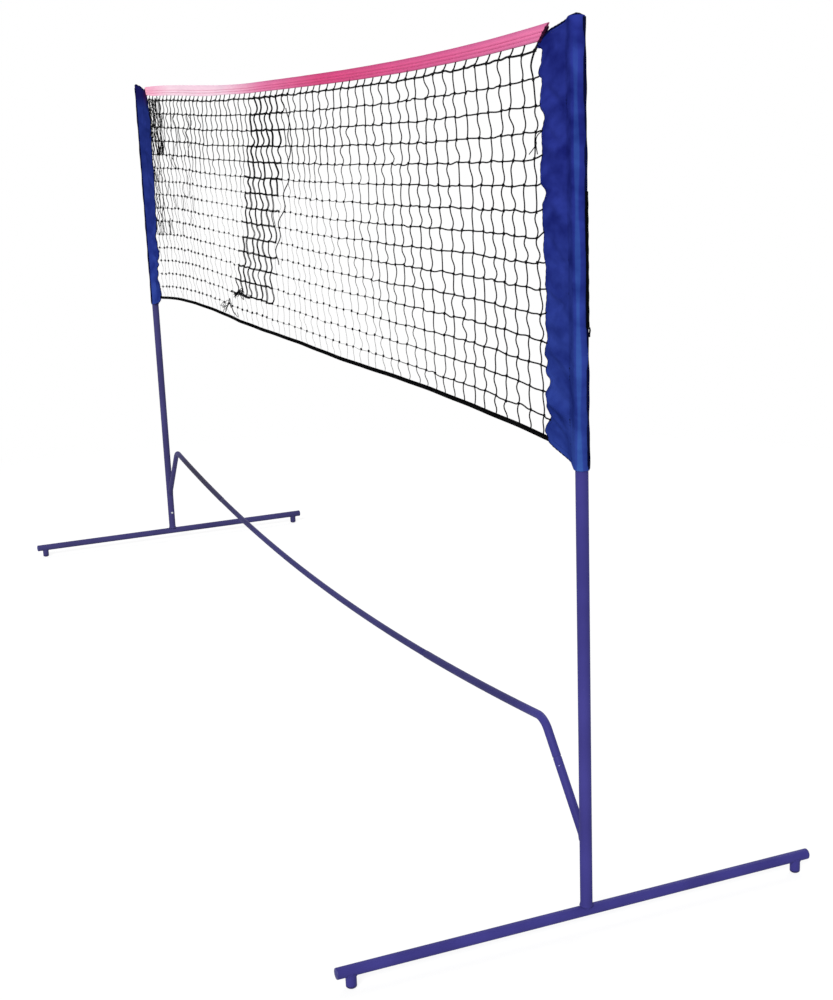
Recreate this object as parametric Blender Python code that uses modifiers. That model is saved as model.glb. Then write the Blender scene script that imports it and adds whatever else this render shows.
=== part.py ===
"""Mini badminton net: two posts on cross feet, a bowed low cross bar and a net on cloth sleeves.

Metres, +Z up. The net hangs in the plane y = 0 and runs along X. The origin is on the floor, midway
between the posts. The four rubber tips stand on z = 0.
"""

import math

import bmesh
import bpy
from mathutils import Vector

# Overall
SPAN = 3.000            # post axis to post axis
HEIGHT = 1.550          # floor to the top of the sleeves
CLEAR = 0.0003          # gap between pieces that touch

# Feet
FOOT_LENGTH = 0.950
FOOT_RADIUS = 0.010
FOOT_WALL = 0.0012
FOOT_AXIS_HEIGHT = 0.031
STUB_INSET = 0.028      # from the end of the foot to the middle of a stub
STUB_RADIUS = 0.0095
STUB_BORE = 0.0055
TIP_THICKNESS = 0.0045
TIP_STEM = 0.009
TIP_CHAMFER = 0.001
PLUG_HEAD = 0.003
PLUG_STEM = 0.012
PLUG_CHAMFER = 0.0009

# Posts
POST_RADIUS = 0.011
POST_WALL = 0.0012
POST_JOINT_HEIGHT = 0.870
SWAGE_LENGTH = 0.060
SPIGOT_LENGTH = 0.110   # above the foot tube
SPIGOT_WALL = 0.0015
CAP_HEAD = 0.003
CAP_STEM = 0.015

# Slanted sockets and the cross bar
SOCKET_HEIGHT = 0.160   # where the socket's axis meets the post's axis
SOCKET_RADIUS = 0.0080
SOCKET_WALL = 0.0012
SOCKET_LENGTH = 0.160   # from the post's axis to the mouth
KNEE_REACH = 0.152      # from the post's axis to the corner of the knee
KNEE_HEIGHT = 0.342
KNEE_BEND = 0.045       # radius of the bend, at the middle of the tube
KNEE_INSERT = 0.055     # length inside the socket
BAR_RADIUS = 0.0080     # of the knee tubes
BAR_MID_RADIUS = 0.0074  # of the two middle tubes
BAR_WALL = 0.0012
BAR_MID_HEIGHT = 0.2635
BAR_JOINT = 0.800       # from the middle of the bar to its outer joints
BAR_SWAGE = 0.060
SWAGE_SLOPE = 0.002     # length over which a tube is drawn in
CENTRE_SPIGOT = 0.100

# Spring buttons
POST_BUTTON_HEIGHT = 0.097
POST_BUTTON_RADIUS = 0.0038
POST_BUTTON_STANDS_OUT = 0.0025
BAR_BUTTON_FROM_MOUTH = 0.0175
BAR_BUTTON_BEARING = math.radians(34)  # from the outboard side towards the front
BAR_BUTTON_RADIUS = 0.0025
BAR_BUTTON_STANDS_OUT = 0.0020
BUTTON_FLANGE_LIP = 0.0012
BUTTON_FLANGE = 0.0010
BUTTON_CROWN = 0.0008
SPRING_THICKNESS = 0.0006
POST_SPRING_WIDTH = 0.008
POST_SPRING_LENGTH = 0.028
BAR_SPRING_WIDTH = 0.006
BAR_SPRING_LENGTH = 0.024

# Net
TAPE_END_DROP = 0.0045  # from the top of the sleeves to the tape's upper corners
TAPE_SAG = 0.031
TAPE_DEPTH = 0.025
TAPE_END_SLANT = 0.0145 # how much shorter the lower edge is at each end
TAPE_WALL = 0.0009
TAPE_SLOT = 0.0028
CORD_RADIUS = 0.0011
HEM_MID_HEIGHT = 0.8775  # middle of the hem band
HEM_DROP = 0.013
HEM_DEPTH = 0.0085
HEM_WALL = 0.0008
HEM_SLOT = 0.0026
NET_COLUMNS = 31
NET_ROWS = 8
STRAND_WIDTH = 0.0020
STRAND_THICKNESS = 0.0018
NET_TOP_INSET = 0.012    # first strand below the tape's upper edge
NET_LOW_INSET = 0.0040   # last strand below the hem's upper edge

# Sleeves
CLOTH = 0.0010
POCKET_EASE = 0.0004     # between the post and the pocket
SLEEVE_LOW = 0.833
POCKET_TAPER = 0.036     # from the post's axis to where the pocket's sides meet
PANEL_REACH = 0.1185     # from the post's axis to the panel's inner edge
PANEL_SHOULDER = 0.0925  # from the post's axis to the slanted corner
SHOULDER_DROP = 0.0152   # from the top of the sleeve to the slanted corner
CORNER_DROP = 0.041      # from the top of the sleeve to the panel's inner corner
PANEL_LOW_CORNER = 0.860
SCALLOP = 0.0050
SCALLOPS = 15
PANEL_THICKNESS = 0.0014
PANEL_LAP = 0.0003       # how far the panel's edge lies inside the pocket's seam
FOLD = 0.0035            # how far the panel's folds stand out
FOLD_WAVES = 2.5         # folds down the panel
FOLD_SLANT = 0.6         # how far a fold drifts across the panel
STRIP_LOW = 1.066
STRIP_TOP = 1.283
STRIP_THICKNESS = 0.0022
STRIP_HALF_WIDTH = math.radians(42)
STRIP_BEARING = math.radians(62)
LOOP_LENGTH = 0.018
LOOP_WIDTH = 0.008
LOOP_THICKNESS = 0.0016

ROUND = 20               # sides of a turned piece
BUTTON_SIDES = 12        # sides of a spring button
TUBE_SIDES = 12          # sides of a bent tube
CORD_SIDES = 8           # sides of the top cord and the pull loops
POCKET_SIDES = 18        # flats round the sleeve's pocket
STRIP_SIDES = 8          # flats round a closure strip
KNEE_STEPS = 6           # flats along a knee's bend
BAR_STEPS = 6            # flats along a bar tube
TAPE_STEPS = 22          # straight lengths along the tape, the cord and the hem
SPRING_STEPS = 6         # flats round a leaf spring's bend
PANEL_COLUMNS = 5
SCALLOP_ROWS = 2         # rows of the panel to one scallop

parts = bpy.data.collections.new("mini_badminton_net")
cutters = bpy.data.collections.new("cutters")


def clear_scene():
    for old in list(bpy.data.objects):
        bpy.data.objects.remove(old, do_unlink=True)
    bpy.context.scene.collection.children.link(parts)
    bpy.context.scene.collection.children.link(cutters)


def linear(channel):
    value = channel / 255
    return value / 12.92 if value <= 0.04045 else ((value + 0.055) / 1.055) ** 2.4


def make_material(name, colour, roughness, metallic=0.0):
    made = bpy.data.materials.new(name)
    made.use_nodes = True
    shader = made.node_tree.nodes["Principled BSDF"]
    shader.inputs["Base Color"].default_value = [linear(channel) for channel in colour] + [1.0]
    shader.inputs["Roughness"].default_value = roughness
    shader.inputs["Metallic"].default_value = metallic
    return made


BLUE_PAINT = make_material("blue_paint", (66, 62, 143), 0.38)
STEEL = make_material("bare_steel", (188, 190, 196), 0.30, 1.0)
SPRING_STEEL = make_material("spring_steel", (150, 152, 158), 0.35, 1.0)
BLACK_PLASTIC = make_material("black_plastic", (28, 28, 32), 0.50)
BLUE_PLASTIC = make_material("blue_plastic", (60, 57, 130), 0.45)
BLACK_RUBBER = make_material("black_rubber", (22, 22, 24), 0.80)
BLUE_CLOTH = make_material("blue_cloth", (38, 48, 132), 0.75)
PINK_TAPE = make_material("pink_tape", (226, 106, 156), 0.70)
BLACK_CORD = make_material("black_cord", (16, 16, 18), 0.85)
WHITE_CORD = make_material("white_cord", (225, 225, 220), 0.80)


def add_part(name, mesh, material, smooth=True):
    part = bpy.data.objects.new(name, mesh)
    mesh.materials.clear()
    mesh.materials.append(material)
    parts.objects.link(part)
    if smooth:
        mesh.shade_smooth()
        mesh.set_sharp_from_angle(angle=math.radians(35))
    return part


def set_cutter(shape):
    for holder in list(shape.users_collection):
        holder.objects.unlink(shape)
    cutters.objects.link(shape)
    shape.hide_render = True
    shape.display_type = "WIRE"
    return shape


def cut(part, cutter, operation="DIFFERENCE"):
    step = part.modifiers.new(cutter.name, "BOOLEAN")
    step.operation = operation
    step.solver = "EXACT"
    step.object = cutter


def guide(name, location, parent=None):
    empty = bpy.data.objects.new(name, None)
    empty.empty_display_size = 0.05
    empty.location = location
    empty.parent = parent
    parts.objects.link(empty)
    return empty


def place(part, parent, location, axis=None):
    """Puts a part under its parent, with its own Z along axis."""
    part.parent = parent
    part.location = location
    if axis is not None:
        part.rotation_mode = "QUATERNION"
        part.rotation_quaternion = Vector(axis).to_track_quat("Z", "Y")
    return part


def snug(bore, sides=ROUND):
    """Largest radius that turns freely in a faceted bore."""
    return bore * math.cos(math.pi / sides) - CLEAR


def turned_mesh(name, profile, closed):
    """A profile of (radius, height) points, outer side first and downwards."""
    mesh = bpy.data.meshes.new(name)
    shape = bmesh.new()
    points = [shape.verts.new((radius, 0, height)) for radius, height in profile]
    pairs = list(zip(points, points[1:]))
    if closed:
        pairs.append((points[-1], points[0]))
    for first, second in pairs:
        shape.edges.new((first, second))
    shape.to_mesh(mesh)
    shape.free()
    return mesh


def turn(part, sides):
    screw = part.modifiers.new("turn", "SCREW")
    screw.axis = "Z"
    screw.angle = math.tau
    screw.screw_offset = 0
    screw.steps = sides
    screw.render_steps = sides
    screw.use_merge_vertices = True
    screw.merge_threshold = 0.00001
    screw.use_smooth_shade = True


def turned(name, profile, material, closed=False, sides=ROUND):
    part = add_part(name, turned_mesh(name, profile, closed), material, smooth=False)
    turn(part, sides)
    return part


def straight_tube(name, outer, inner, low, top, material):
    return turned(name, [(outer, top), (outer, low), (inner, low), (inner, top)], material, closed=True)


def cylinder_cutter(name, radius, length, parent, location, axis):
    mesh = bpy.data.meshes.new(name)
    shape = bmesh.new()
    bmesh.ops.create_cone(
        shape, cap_ends=True, segments=ROUND, radius1=radius, radius2=radius, depth=length)
    shape.to_mesh(mesh)
    shape.free()
    cutter = bpy.data.objects.new(name, mesh)
    cutters.objects.link(cutter)
    set_cutter(cutter)
    return place(cutter, parent, location, axis)


def mesh_from_curve(curve_object, name):
    """The curve's evaluated mesh, with its caps welded on, in place of the curve."""
    bpy.context.view_layer.update()
    evaluated = curve_object.evaluated_get(bpy.context.evaluated_depsgraph_get())
    mesh = bpy.data.meshes.new_from_object(evaluated)
    shape = bmesh.new()
    shape.from_mesh(mesh)
    bmesh.ops.remove_doubles(shape, verts=shape.verts, dist=0.000001)
    bmesh.ops.recalc_face_normals(shape, faces=shape.faces)
    shape.to_mesh(mesh)
    shape.free()
    mesh.name = name
    made = bpy.data.objects.new(name, mesh)
    made.matrix_world = curve_object.matrix_world
    bpy.data.objects.remove(curve_object, do_unlink=True)
    return made


def swept(name, points, radii, sides=TUBE_SIDES):
    """A tube along points, with its radius at each."""
    curve = bpy.data.curves.new(name, "CURVE")
    curve.dimensions = "3D"
    curve.bevel_depth = 1.0
    curve.bevel_resolution = (sides - 4) // 2
    curve.use_fill_caps = True
    line = curve.splines.new("POLY")
    line.points.add(len(points) - 1)
    for point, (x, z), radius in zip(line.points, points, radii):
        point.co = (x, 0, z, 1)
        point.radius = radius
    holder = bpy.data.objects.new(name, curve)
    parts.objects.link(holder)
    return mesh_from_curve(holder, name)


def bent_tube(name, points, radii, wall, parent, material):
    """A hollow tube in the plane of the net, open at both ends."""
    outer = swept(name, points, radii)
    part = add_part(name, outer.data, material)
    bpy.data.objects.remove(outer)
    part.parent = parent
    bore = swept(name + "_bore", lengthened(points, wall), [radius - wall for radius in radii])
    set_cutter(bore)
    bore.parent = parent
    cut(part, bore)
    return part


def lengthened(points, extra):
    """The same line, its two ends moved out by extra."""
    moved = [Vector(point) for point in points]
    moved[0] = moved[0] + (moved[0] - moved[1]).normalized() * extra
    moved[-1] = moved[-1] + (moved[-1] - moved[-2]).normalized() * extra
    return moved


def flat_outline(name, points, thickness, axis="Y"):
    """A filled outline of (x, z) points and its thickness along Y, or of (x, y) points and Z."""
    curve = bpy.data.curves.new(name, "CURVE")
    curve.dimensions = "2D"
    curve.fill_mode = "BOTH"
    curve.extrude = thickness / 2
    line = curve.splines.new("POLY")
    line.points.add(len(points) - 1)
    for point, (u, v) in zip(line.points, points):
        point.co = (u, v, 0, 1)
    line.use_cyclic_u = True
    holder = bpy.data.objects.new(name, curve)
    parts.objects.link(holder)
    if axis == "Y":
        holder.rotation_euler = (math.pi / 2, 0, 0)
    return mesh_from_curve(holder, name)


# Shapes that several pieces share

def bar_line(x):
    """Height of the cross bar's middle at x, a shallow bow."""
    return BAR_MID_HEIGHT + (KNEE_HEIGHT - BAR_MID_HEIGHT) * (x / (SPAN / 2 - KNEE_REACH)) ** 2


def tape_reach():
    """From the middle of the net to the tape's upper corners, over the sleeves' slanted corners."""
    return SPAN / 2 - PANEL_SHOULDER


def tape_top(x):
    return HEIGHT - TAPE_END_DROP - TAPE_SAG * (1 - abs(x / tape_reach()) ** 3)


def hem_top(x):
    return HEM_MID_HEIGHT + HEM_DEPTH / 2 - HEM_DROP * abs(x / net_half()) ** 6


def net_half():
    """From the middle of the net to the sleeves' inner edges."""
    return SPAN / 2 - PANEL_REACH - SCALLOP - CLEAR


def socket_angle():
    """Between the post and the slanted socket."""
    return math.atan2(KNEE_REACH, KNEE_HEIGHT - SOCKET_HEIGHT)


def spread(low, high, count):
    """count + 1 even steps from low to high."""
    return [low + (high - low) * step / count for step in range(count + 1)]


# Feet

def foot(name, frame):
    plug_face = FOOT_LENGTH / 2 - PLUG_HEAD
    half = plug_face - CLEAR
    inner = FOOT_RADIUS - FOOT_WALL
    tube = straight_tube("foot_tube_" + name, FOOT_RADIUS, inner, -half, half, BLUE_PAINT)
    place(tube, frame, (0, 0, FOOT_AXIS_HEIGHT), (0, 1, 0))
    for end, sign in (("front", -1), ("rear", 1)):
        foot_plug(f"foot_plug_{end}_{name}", frame, sign * plug_face, sign, snug(inner))
        foot_stub(f"{end}_{name}", frame, sign * (FOOT_LENGTH / 2 - STUB_INSET))


def foot_plug(name, frame, y, sign, stem):
    profile = [
        (0, PLUG_HEAD),
        (FOOT_RADIUS - PLUG_CHAMFER, PLUG_HEAD),
        (FOOT_RADIUS, PLUG_HEAD - PLUG_CHAMFER),
        (FOOT_RADIUS, 0),
        (stem, 0),
        (stem, -PLUG_STEM),
        (0, -PLUG_STEM),
    ]
    plug = turned(name, profile, BLUE_PLASTIC)
    place(plug, frame, (0, y, FOOT_AXIS_HEIGHT), (0, sign, 0))


def foot_stub(name, frame, y):
    stub = straight_tube(
        "foot_stub_" + name, STUB_RADIUS, STUB_BORE, TIP_THICKNESS + CLEAR, FOOT_AXIS_HEIGHT, BLUE_PAINT)
    place(stub, frame, (0, y, 0))
    saddle = cylinder_cutter(
        "stub_saddle_" + name, FOOT_RADIUS + CLEAR, 4 * STUB_RADIUS, frame,
        (0, y, FOOT_AXIS_HEIGHT), (0, 1, 0))
    cut(stub, saddle)
    stem = snug(STUB_BORE)
    profile = [
        (0, TIP_THICKNESS + TIP_STEM),
        (stem, TIP_THICKNESS + TIP_STEM),
        (stem, TIP_THICKNESS),
        (STUB_RADIUS, TIP_THICKNESS),
        (STUB_RADIUS, TIP_CHAMFER),
        (STUB_RADIUS - TIP_CHAMFER, 0),
        (0, 0),
    ]
    tip = turned("rubber_tip_" + name, profile, BLACK_RUBBER)
    place(tip, frame, (0, y, 0))


# Posts

def post(side, name, frame):
    crest = FOOT_AXIS_HEIGHT + FOOT_RADIUS
    inner = POST_RADIUS - POST_WALL
    spigot_radius = snug(inner)
    spigot_inner = spigot_radius - SPIGOT_WALL
    spigot = straight_tube(
        "foot_spigot_" + name, spigot_radius, spigot_inner, FOOT_AXIS_HEIGHT, crest + SPIGOT_LENGTH,
        BLUE_PAINT)
    place(spigot, frame, (0, 0, 0))
    saddle = cylinder_cutter(
        "spigot_saddle_" + name, FOOT_RADIUS + CLEAR, 4 * POST_RADIUS, frame,
        (0, 0, FOOT_AXIS_HEIGHT), (0, 1, 0))
    cut(spigot, saddle)

    lower = straight_tube(
        "lower_post_" + name, POST_RADIUS, inner, crest + CLEAR, POST_JOINT_HEIGHT, BLUE_PAINT)
    place(lower, frame, (0, 0, 0))

    swage = snug(inner)
    cap_top = HEIGHT - CLOTH - CLEAR
    tube_top = cap_top - CAP_HEAD - CLEAR
    shoulder = POST_JOINT_HEIGHT + CLEAR
    profile = [
        (POST_RADIUS, tube_top),
        (POST_RADIUS, shoulder),
        (swage, shoulder),
        (swage, POST_JOINT_HEIGHT - SWAGE_LENGTH),
        (swage - POST_WALL, POST_JOINT_HEIGHT - SWAGE_LENGTH),
        (swage - POST_WALL, shoulder + POST_WALL),
        (inner, shoulder + 2 * POST_WALL),
        (inner, tube_top),
    ]
    upper = turned("upper_post_" + name, profile, BLUE_PAINT, closed=True)
    place(upper, frame, (0, 0, 0))

    stem = snug(inner)
    profile = [
        (0, CAP_HEAD),
        (POST_RADIUS - PLUG_CHAMFER, CAP_HEAD),
        (POST_RADIUS, CAP_HEAD - PLUG_CHAMFER),
        (POST_RADIUS, 0),
        (stem, 0),
        (stem, -CAP_STEM),
        (0, -CAP_STEM),
    ]
    cap = turned("post_cap_" + name, profile, BLACK_PLASTIC)
    place(cap, frame, (0, 0, cap_top - CAP_HEAD))

    inboard = (-side, 0, 0)
    hole = cylinder_cutter(
        "post_button_hole_" + name, POST_BUTTON_RADIUS + CLEAR, POST_RADIUS, frame,
        (-side * POST_RADIUS, 0, POST_BUTTON_HEIGHT), inboard)
    cut(spigot, hole)
    cut(lower, hole)
    holder = guide("post_button_axis_" + name, (0, 0, POST_BUTTON_HEIGHT), frame)
    spring_button(
        "post_button", name, holder, inboard, (0, 0, -1),
        POST_BUTTON_RADIUS, POST_RADIUS + POST_BUTTON_STANDS_OUT, spigot_inner,
        POST_SPRING_WIDTH, POST_SPRING_LENGTH)


# Spring buttons

def spring_button(kind, name, holder, out, along, radius, tip, bore, spring_width, spring_length):
    """A flanged button that stands out of a tube along out, and the leaf spring behind it."""
    flange_radius = radius + BUTTON_FLANGE_LIP
    flange_face = math.sqrt(snug(bore) ** 2 - flange_radius ** 2)
    flange_back = flange_face - BUTTON_FLANGE
    profile = [
        (0, tip),
        (radius - BUTTON_CROWN, tip),
        (radius, tip - BUTTON_CROWN),
        (radius, flange_face),
        (flange_radius, flange_face),
        (flange_radius, flange_back),
        (0, flange_back),
    ]
    button = turned(f"{kind}_{name}", profile, STEEL, sides=BUTTON_SIDES)
    place(button, holder, (0, 0, 0), out)
    leaf_spring(
        f"{kind}_spring_{name}", holder, out, along, flange_back - CLEAR, snug(bore),
        spring_width, spring_length, flange_radius)


def leaf_spring(name, holder, out, along, front, bore, width, length, reach):
    """A bent strip: one leg behind the button, one on the tube's far wall."""
    half = SPRING_THICKNESS / 2
    back = math.sqrt(bore ** 2 - (width / 2) ** 2)
    front_leg = front - half
    back_leg = half - back
    bend = (front_leg - back_leg) / 2
    middle = (front_leg + back_leg) / 2
    line = [(front_leg, -reach), (front_leg, length - bend)]
    for step in range(1, SPRING_STEPS):
        angle = math.pi * step / SPRING_STEPS
        line.append((middle + bend * math.cos(angle), length - bend + bend * math.sin(angle)))
    line.append((back_leg, length - bend))
    line.append((back_leg, -reach))
    out = Vector(out)
    along = Vector(along)
    across = out.cross(along) * (width / 2)
    mesh = bpy.data.meshes.new(name)
    shape = bmesh.new()
    rows = []
    for depth, run in line:
        spot = out * depth + along * run
        rows.append((shape.verts.new(spot - across), shape.verts.new(spot + across)))
    for (a, b), (c, d) in zip(rows, rows[1:]):
        shape.faces.new((a, b, d, c))
    shape.to_mesh(mesh)
    shape.free()
    spring = add_part(name, mesh, SPRING_STEEL, smooth=False)
    spring.parent = holder
    sheet = spring.modifiers.new("sheet", "SOLIDIFY")
    sheet.thickness = SPRING_THICKNESS
    sheet.offset = 0
    sheet.use_even_offset = True


# Slanted sockets and cross bar

def socket(side, name, frame):
    angle = socket_angle()
    axis = Vector((-side * math.sin(angle), 0, math.cos(angle)))
    base = Vector((0, 0, SOCKET_HEIGHT))
    inner = SOCKET_RADIUS - SOCKET_WALL
    tube = straight_tube("bar_socket_" + name, SOCKET_RADIUS, inner, 0, SOCKET_LENGTH, BLUE_PAINT)
    place(tube, frame, base, axis)
    saddle = cylinder_cutter(
        "socket_saddle_" + name, POST_RADIUS + CLEAR, 8 * POST_RADIUS, frame, base, (0, 0, 1))
    cut(tube, saddle)

    seat = SOCKET_LENGTH - BAR_BUTTON_FROM_MOUTH
    spot = base + axis * seat
    outboard = Vector((side * math.cos(angle), 0, math.sin(angle)))
    forward = Vector((0, -1, 0))
    out = outboard * math.cos(BAR_BUTTON_BEARING) + forward * math.sin(BAR_BUTTON_BEARING)
    hole = cylinder_cutter(
        "bar_button_hole_" + name, BAR_BUTTON_RADIUS + CLEAR, SOCKET_RADIUS, frame,
        spot + out * SOCKET_RADIUS, out)
    cut(tube, hole)
    holder = guide("bar_button_axis_" + name, spot, frame)
    spring_button(
        "bar_button", name, holder, out, axis,
        BAR_BUTTON_RADIUS, SOCKET_RADIUS + BAR_BUTTON_STANDS_OUT,
        (knee_swage() - BAR_WALL) * math.cos(math.pi / TUBE_SIDES),
        BAR_SPRING_WIDTH, BAR_SPRING_LENGTH)
    return hole


def knee_swage():
    """Radius of the knee tube's drawn-in end, inside the socket."""
    return snug(SOCKET_RADIUS - SOCKET_WALL)


def knee_points():
    """The right knee tube's line, from its joint with the bar to its end in the socket.

    The last two points are the two ends of the drawn-in part.
    """
    corner = Vector((SPAN / 2 - KNEE_REACH, KNEE_HEIGHT))
    slope = 2 * (KNEE_HEIGHT - BAR_MID_HEIGHT) / corner.x
    to_bar = Vector((-1, -slope)).normalized()
    angle = socket_angle()
    to_post = Vector((math.sin(angle), -math.cos(angle)))
    opening = to_bar.angle(to_post)
    tangent = KNEE_BEND / math.tan(opening / 2)
    bend_start = corner + to_bar * tangent
    bend_end = corner + to_post * tangent
    centre = corner + (to_bar + to_post).normalized() * (KNEE_BEND / math.sin(opening / 2))
    points = [Vector((x, bar_line(x))) for x in spread(BAR_JOINT, bend_start.x, 4)]
    first = bend_start - centre
    last = bend_end - centre
    turn_angle = first.angle(last)
    for step in range(1, KNEE_STEPS):
        share = step / KNEE_STEPS
        arm = first * math.sin((1 - share) * turn_angle) + last * math.sin(share * turn_angle)
        points.append(centre + arm / math.sin(turn_angle))
    points.append(bend_end)
    mouth = KNEE_REACH / math.sin(angle) - SOCKET_LENGTH
    for along in (mouth - CLEAR - SWAGE_SLOPE, mouth - CLEAR, mouth + KNEE_INSERT):
        points.append(corner + to_post * along)
    return points


def knee(side, name, root, hole):
    points = [(side * point.x, point.y) for point in knee_points()]
    radii = [BAR_RADIUS] * (len(points) - 2) + [knee_swage()] * 2
    tube = bent_tube("knee_tube_" + name, points, radii, BAR_WALL, root, BLUE_PAINT)
    cut(tube, hole)


def bar(side, name, root):
    """One middle section: plain at the middle of the bar, drawn in where it enters the knee tube."""
    swage = snug(BAR_RADIUS - BAR_WALL, TUBE_SIDES)
    shoulder = BAR_JOINT - CLEAR
    plain = spread(CLEAR / 2, shoulder - SWAGE_SLOPE, BAR_STEPS)
    drawn = spread(shoulder, BAR_JOINT + BAR_SWAGE, 1)
    points = [(side * x, bar_line(x)) for x in plain + drawn]
    radii = [BAR_MID_RADIUS] * len(plain) + [swage] * len(drawn)
    bent_tube("bar_tube_" + name, points, radii, BAR_WALL, root, BLUE_PAINT)


def centre_spigot(root):
    radius = snug(BAR_MID_RADIUS - BAR_WALL, TUBE_SIDES)
    points = [(x, bar_line(x)) for x in spread(-CENTRE_SPIGOT / 2, CENTRE_SPIGOT / 2, 4)]
    bent_tube("bar_centre_spigot", points, [radius] * len(points), BAR_WALL, root, STEEL)


# Net

def netting(carrier):
    """One closed grid of flat strands between the tape and the hem band."""
    half = net_half() - STRAND_WIDTH / 2
    width = STRAND_WIDTH / 2
    across = spread(-half, half, NET_COLUMNS)
    down = spread(0, 1, NET_ROWS)

    def height(x, share):
        top = tape_top(x) - NET_TOP_INSET
        low = hem_top(x) - NET_LOW_INSET
        return top + (low - top) * share

    mesh = bpy.data.meshes.new("netting")
    shape = bmesh.new()
    knots = {}
    for i, x in enumerate(across):
        for j, share in enumerate(down):
            corners = []
            for step_x, step_z in ((-1, -1), (1, -1), (1, 1), (-1, 1)):
                at = x + step_x * width
                corners.append(shape.verts.new((at, 0, height(at, share) + step_z * width)))
            knots[i, j] = corners
            shape.faces.new(corners)
    for (i, j), (low_left, low_right, top_right, top_left) in knots.items():
        if i < NET_COLUMNS:
            right = knots[i + 1, j]
            shape.faces.new((low_right, right[0], right[3], top_right))
        if j < NET_ROWS:
            below = knots[i, j + 1]
            shape.faces.new((below[3], below[2], low_right, low_left))
    shape.to_mesh(mesh)
    shape.free()
    part = add_part("netting", mesh, BLACK_CORD, smooth=False)
    part.parent = carrier
    sheet = part.modifiers.new("strands", "SOLIDIFY")
    sheet.thickness = STRAND_THICKNESS
    sheet.offset = 0


def band(name, upper, lower, thickness, material, carrier):
    """A flat band in the plane of the net between two lines of (x, z) points."""
    shape = flat_outline(name, upper + lower[::-1], thickness)
    part = add_part(name, shape.data, material, smooth=False)
    part.matrix_world = shape.matrix_world
    bpy.data.objects.remove(shape)
    part.parent = carrier
    return part


def slot_cutter(name, upper, lower, thickness, carrier):
    shape = flat_outline(name, upper + lower[::-1], thickness)
    set_cutter(shape)
    shape.parent = carrier
    return shape


def top_tape(carrier):
    """The folded band over the net's upper edge, with the cord in its fold."""
    upper_reach = tape_reach()
    lower_reach = upper_reach - TAPE_END_SLANT

    def edge(reach, down):
        return [(x, tape_top(x) - down) for x in spread(-reach, reach, TAPE_STEPS)]

    tape = band(
        "top_tape", edge(upper_reach, 0), edge(lower_reach, TAPE_DEPTH),
        TAPE_SLOT + 2 * TAPE_WALL, PINK_TAPE, carrier)
    slot_reach = upper_reach + TAPE_SLOT
    slot = slot_cutter(
        "tape_slot", edge(slot_reach, TAPE_WALL), edge(slot_reach, 2 * TAPE_DEPTH), TAPE_SLOT, carrier)
    cut(tape, slot)

    cord_height = TAPE_WALL + CLEAR + CORD_RADIUS
    points = [(x, tape_top(x) - cord_height) for x in spread(-lower_reach, lower_reach, TAPE_STEPS)]
    cord = swept("top_cord", points, [CORD_RADIUS] * len(points), CORD_SIDES)
    part = add_part("top_cord", cord.data, WHITE_CORD)
    bpy.data.objects.remove(cord)
    part.parent = carrier


def hem_band(carrier):
    """The folded band under the net's lower edge."""
    reach = net_half()

    def edge(reach, down):
        return [(x, hem_top(x) - down) for x in spread(-reach, reach, TAPE_STEPS)]

    hem = band(
        "hem_band", edge(reach, 0), edge(reach, HEM_DEPTH), HEM_SLOT + 2 * HEM_WALL, BLACK_CORD, carrier)
    slot_reach = reach + HEM_SLOT
    slot = slot_cutter(
        "hem_slot", edge(slot_reach, -HEM_DEPTH), edge(slot_reach, HEM_DEPTH - HEM_WALL), HEM_SLOT, carrier)
    cut(hem, slot)


# Sleeves

def pocket_outline(radius, taper):
    """A round pocket about the post whose sides meet inboard, as (distance inboard, y) points."""
    start = math.acos(radius / taper)
    points = []
    for step in range(POCKET_SIDES + 1):
        angle = start + (math.tau - 2 * start) * step / POCKET_SIDES
        points.append((radius * math.cos(angle), radius * math.sin(angle)))
    points.append((taper, 0))
    return points


def pocket_solid(name, side, radius, taper, low, top, frame):
    outline = [(-side * u, v) for u, v in pocket_outline(radius, taper)]
    shape = flat_outline(name, outline, top - low, axis="Z")
    shape.parent = frame
    shape.location = (0, 0, (low + top) / 2)
    return shape


def line_through(knots, at):
    """Height of the line through (distance, height) knots."""
    for (u0, z0), (u1, z1) in zip(knots, knots[1:]):
        if at <= u1:
            return z0 + (z1 - z0) * (at - u0) / (u1 - u0)
    return knots[-1][1]


def panel_mesh(name, side, start):
    """The flat double cloth beside the post, with a scalloped edge and slanting folds."""
    top_knots = [
        (start, HEIGHT - CLOTH),
        (PANEL_SHOULDER, HEIGHT - SHOULDER_DROP),
        (PANEL_REACH + SCALLOP, HEIGHT - CORNER_DROP),
    ]
    low_knots = [(start, SLEEVE_LOW + CLOTH), (PANEL_REACH + SCALLOP, PANEL_LOW_CORNER)]
    rows = SCALLOP_ROWS * SCALLOPS
    mesh = bpy.data.meshes.new(name)
    shape = bmesh.new()
    grid = []
    for j in range(rows + 1):
        v = j / rows
        reach = PANEL_REACH + SCALLOP * math.cos(math.tau * SCALLOPS * v)
        line = []
        for i in range(PANEL_COLUMNS + 1):
            u = i / PANEL_COLUMNS
            at = start + (reach - start) * u
            low = line_through(low_knots, at)
            z = low + (line_through(top_knots, at) - low) * v
            swell = math.sin(math.pi * u) ** 2 * math.sin(math.pi * v) ** 0.5
            y = FOLD * swell * math.sin(math.tau * (FOLD_WAVES * v + FOLD_SLANT * u))
            line.append(shape.verts.new((-side * at, y, z)))
        grid.append(line)
    for low, high in zip(grid, grid[1:]):
        for a, b, c, d in zip(low, low[1:], high[1:], high):
            shape.faces.new((a, b, c, d))
    shape.to_mesh(mesh)
    shape.free()
    return mesh


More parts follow.
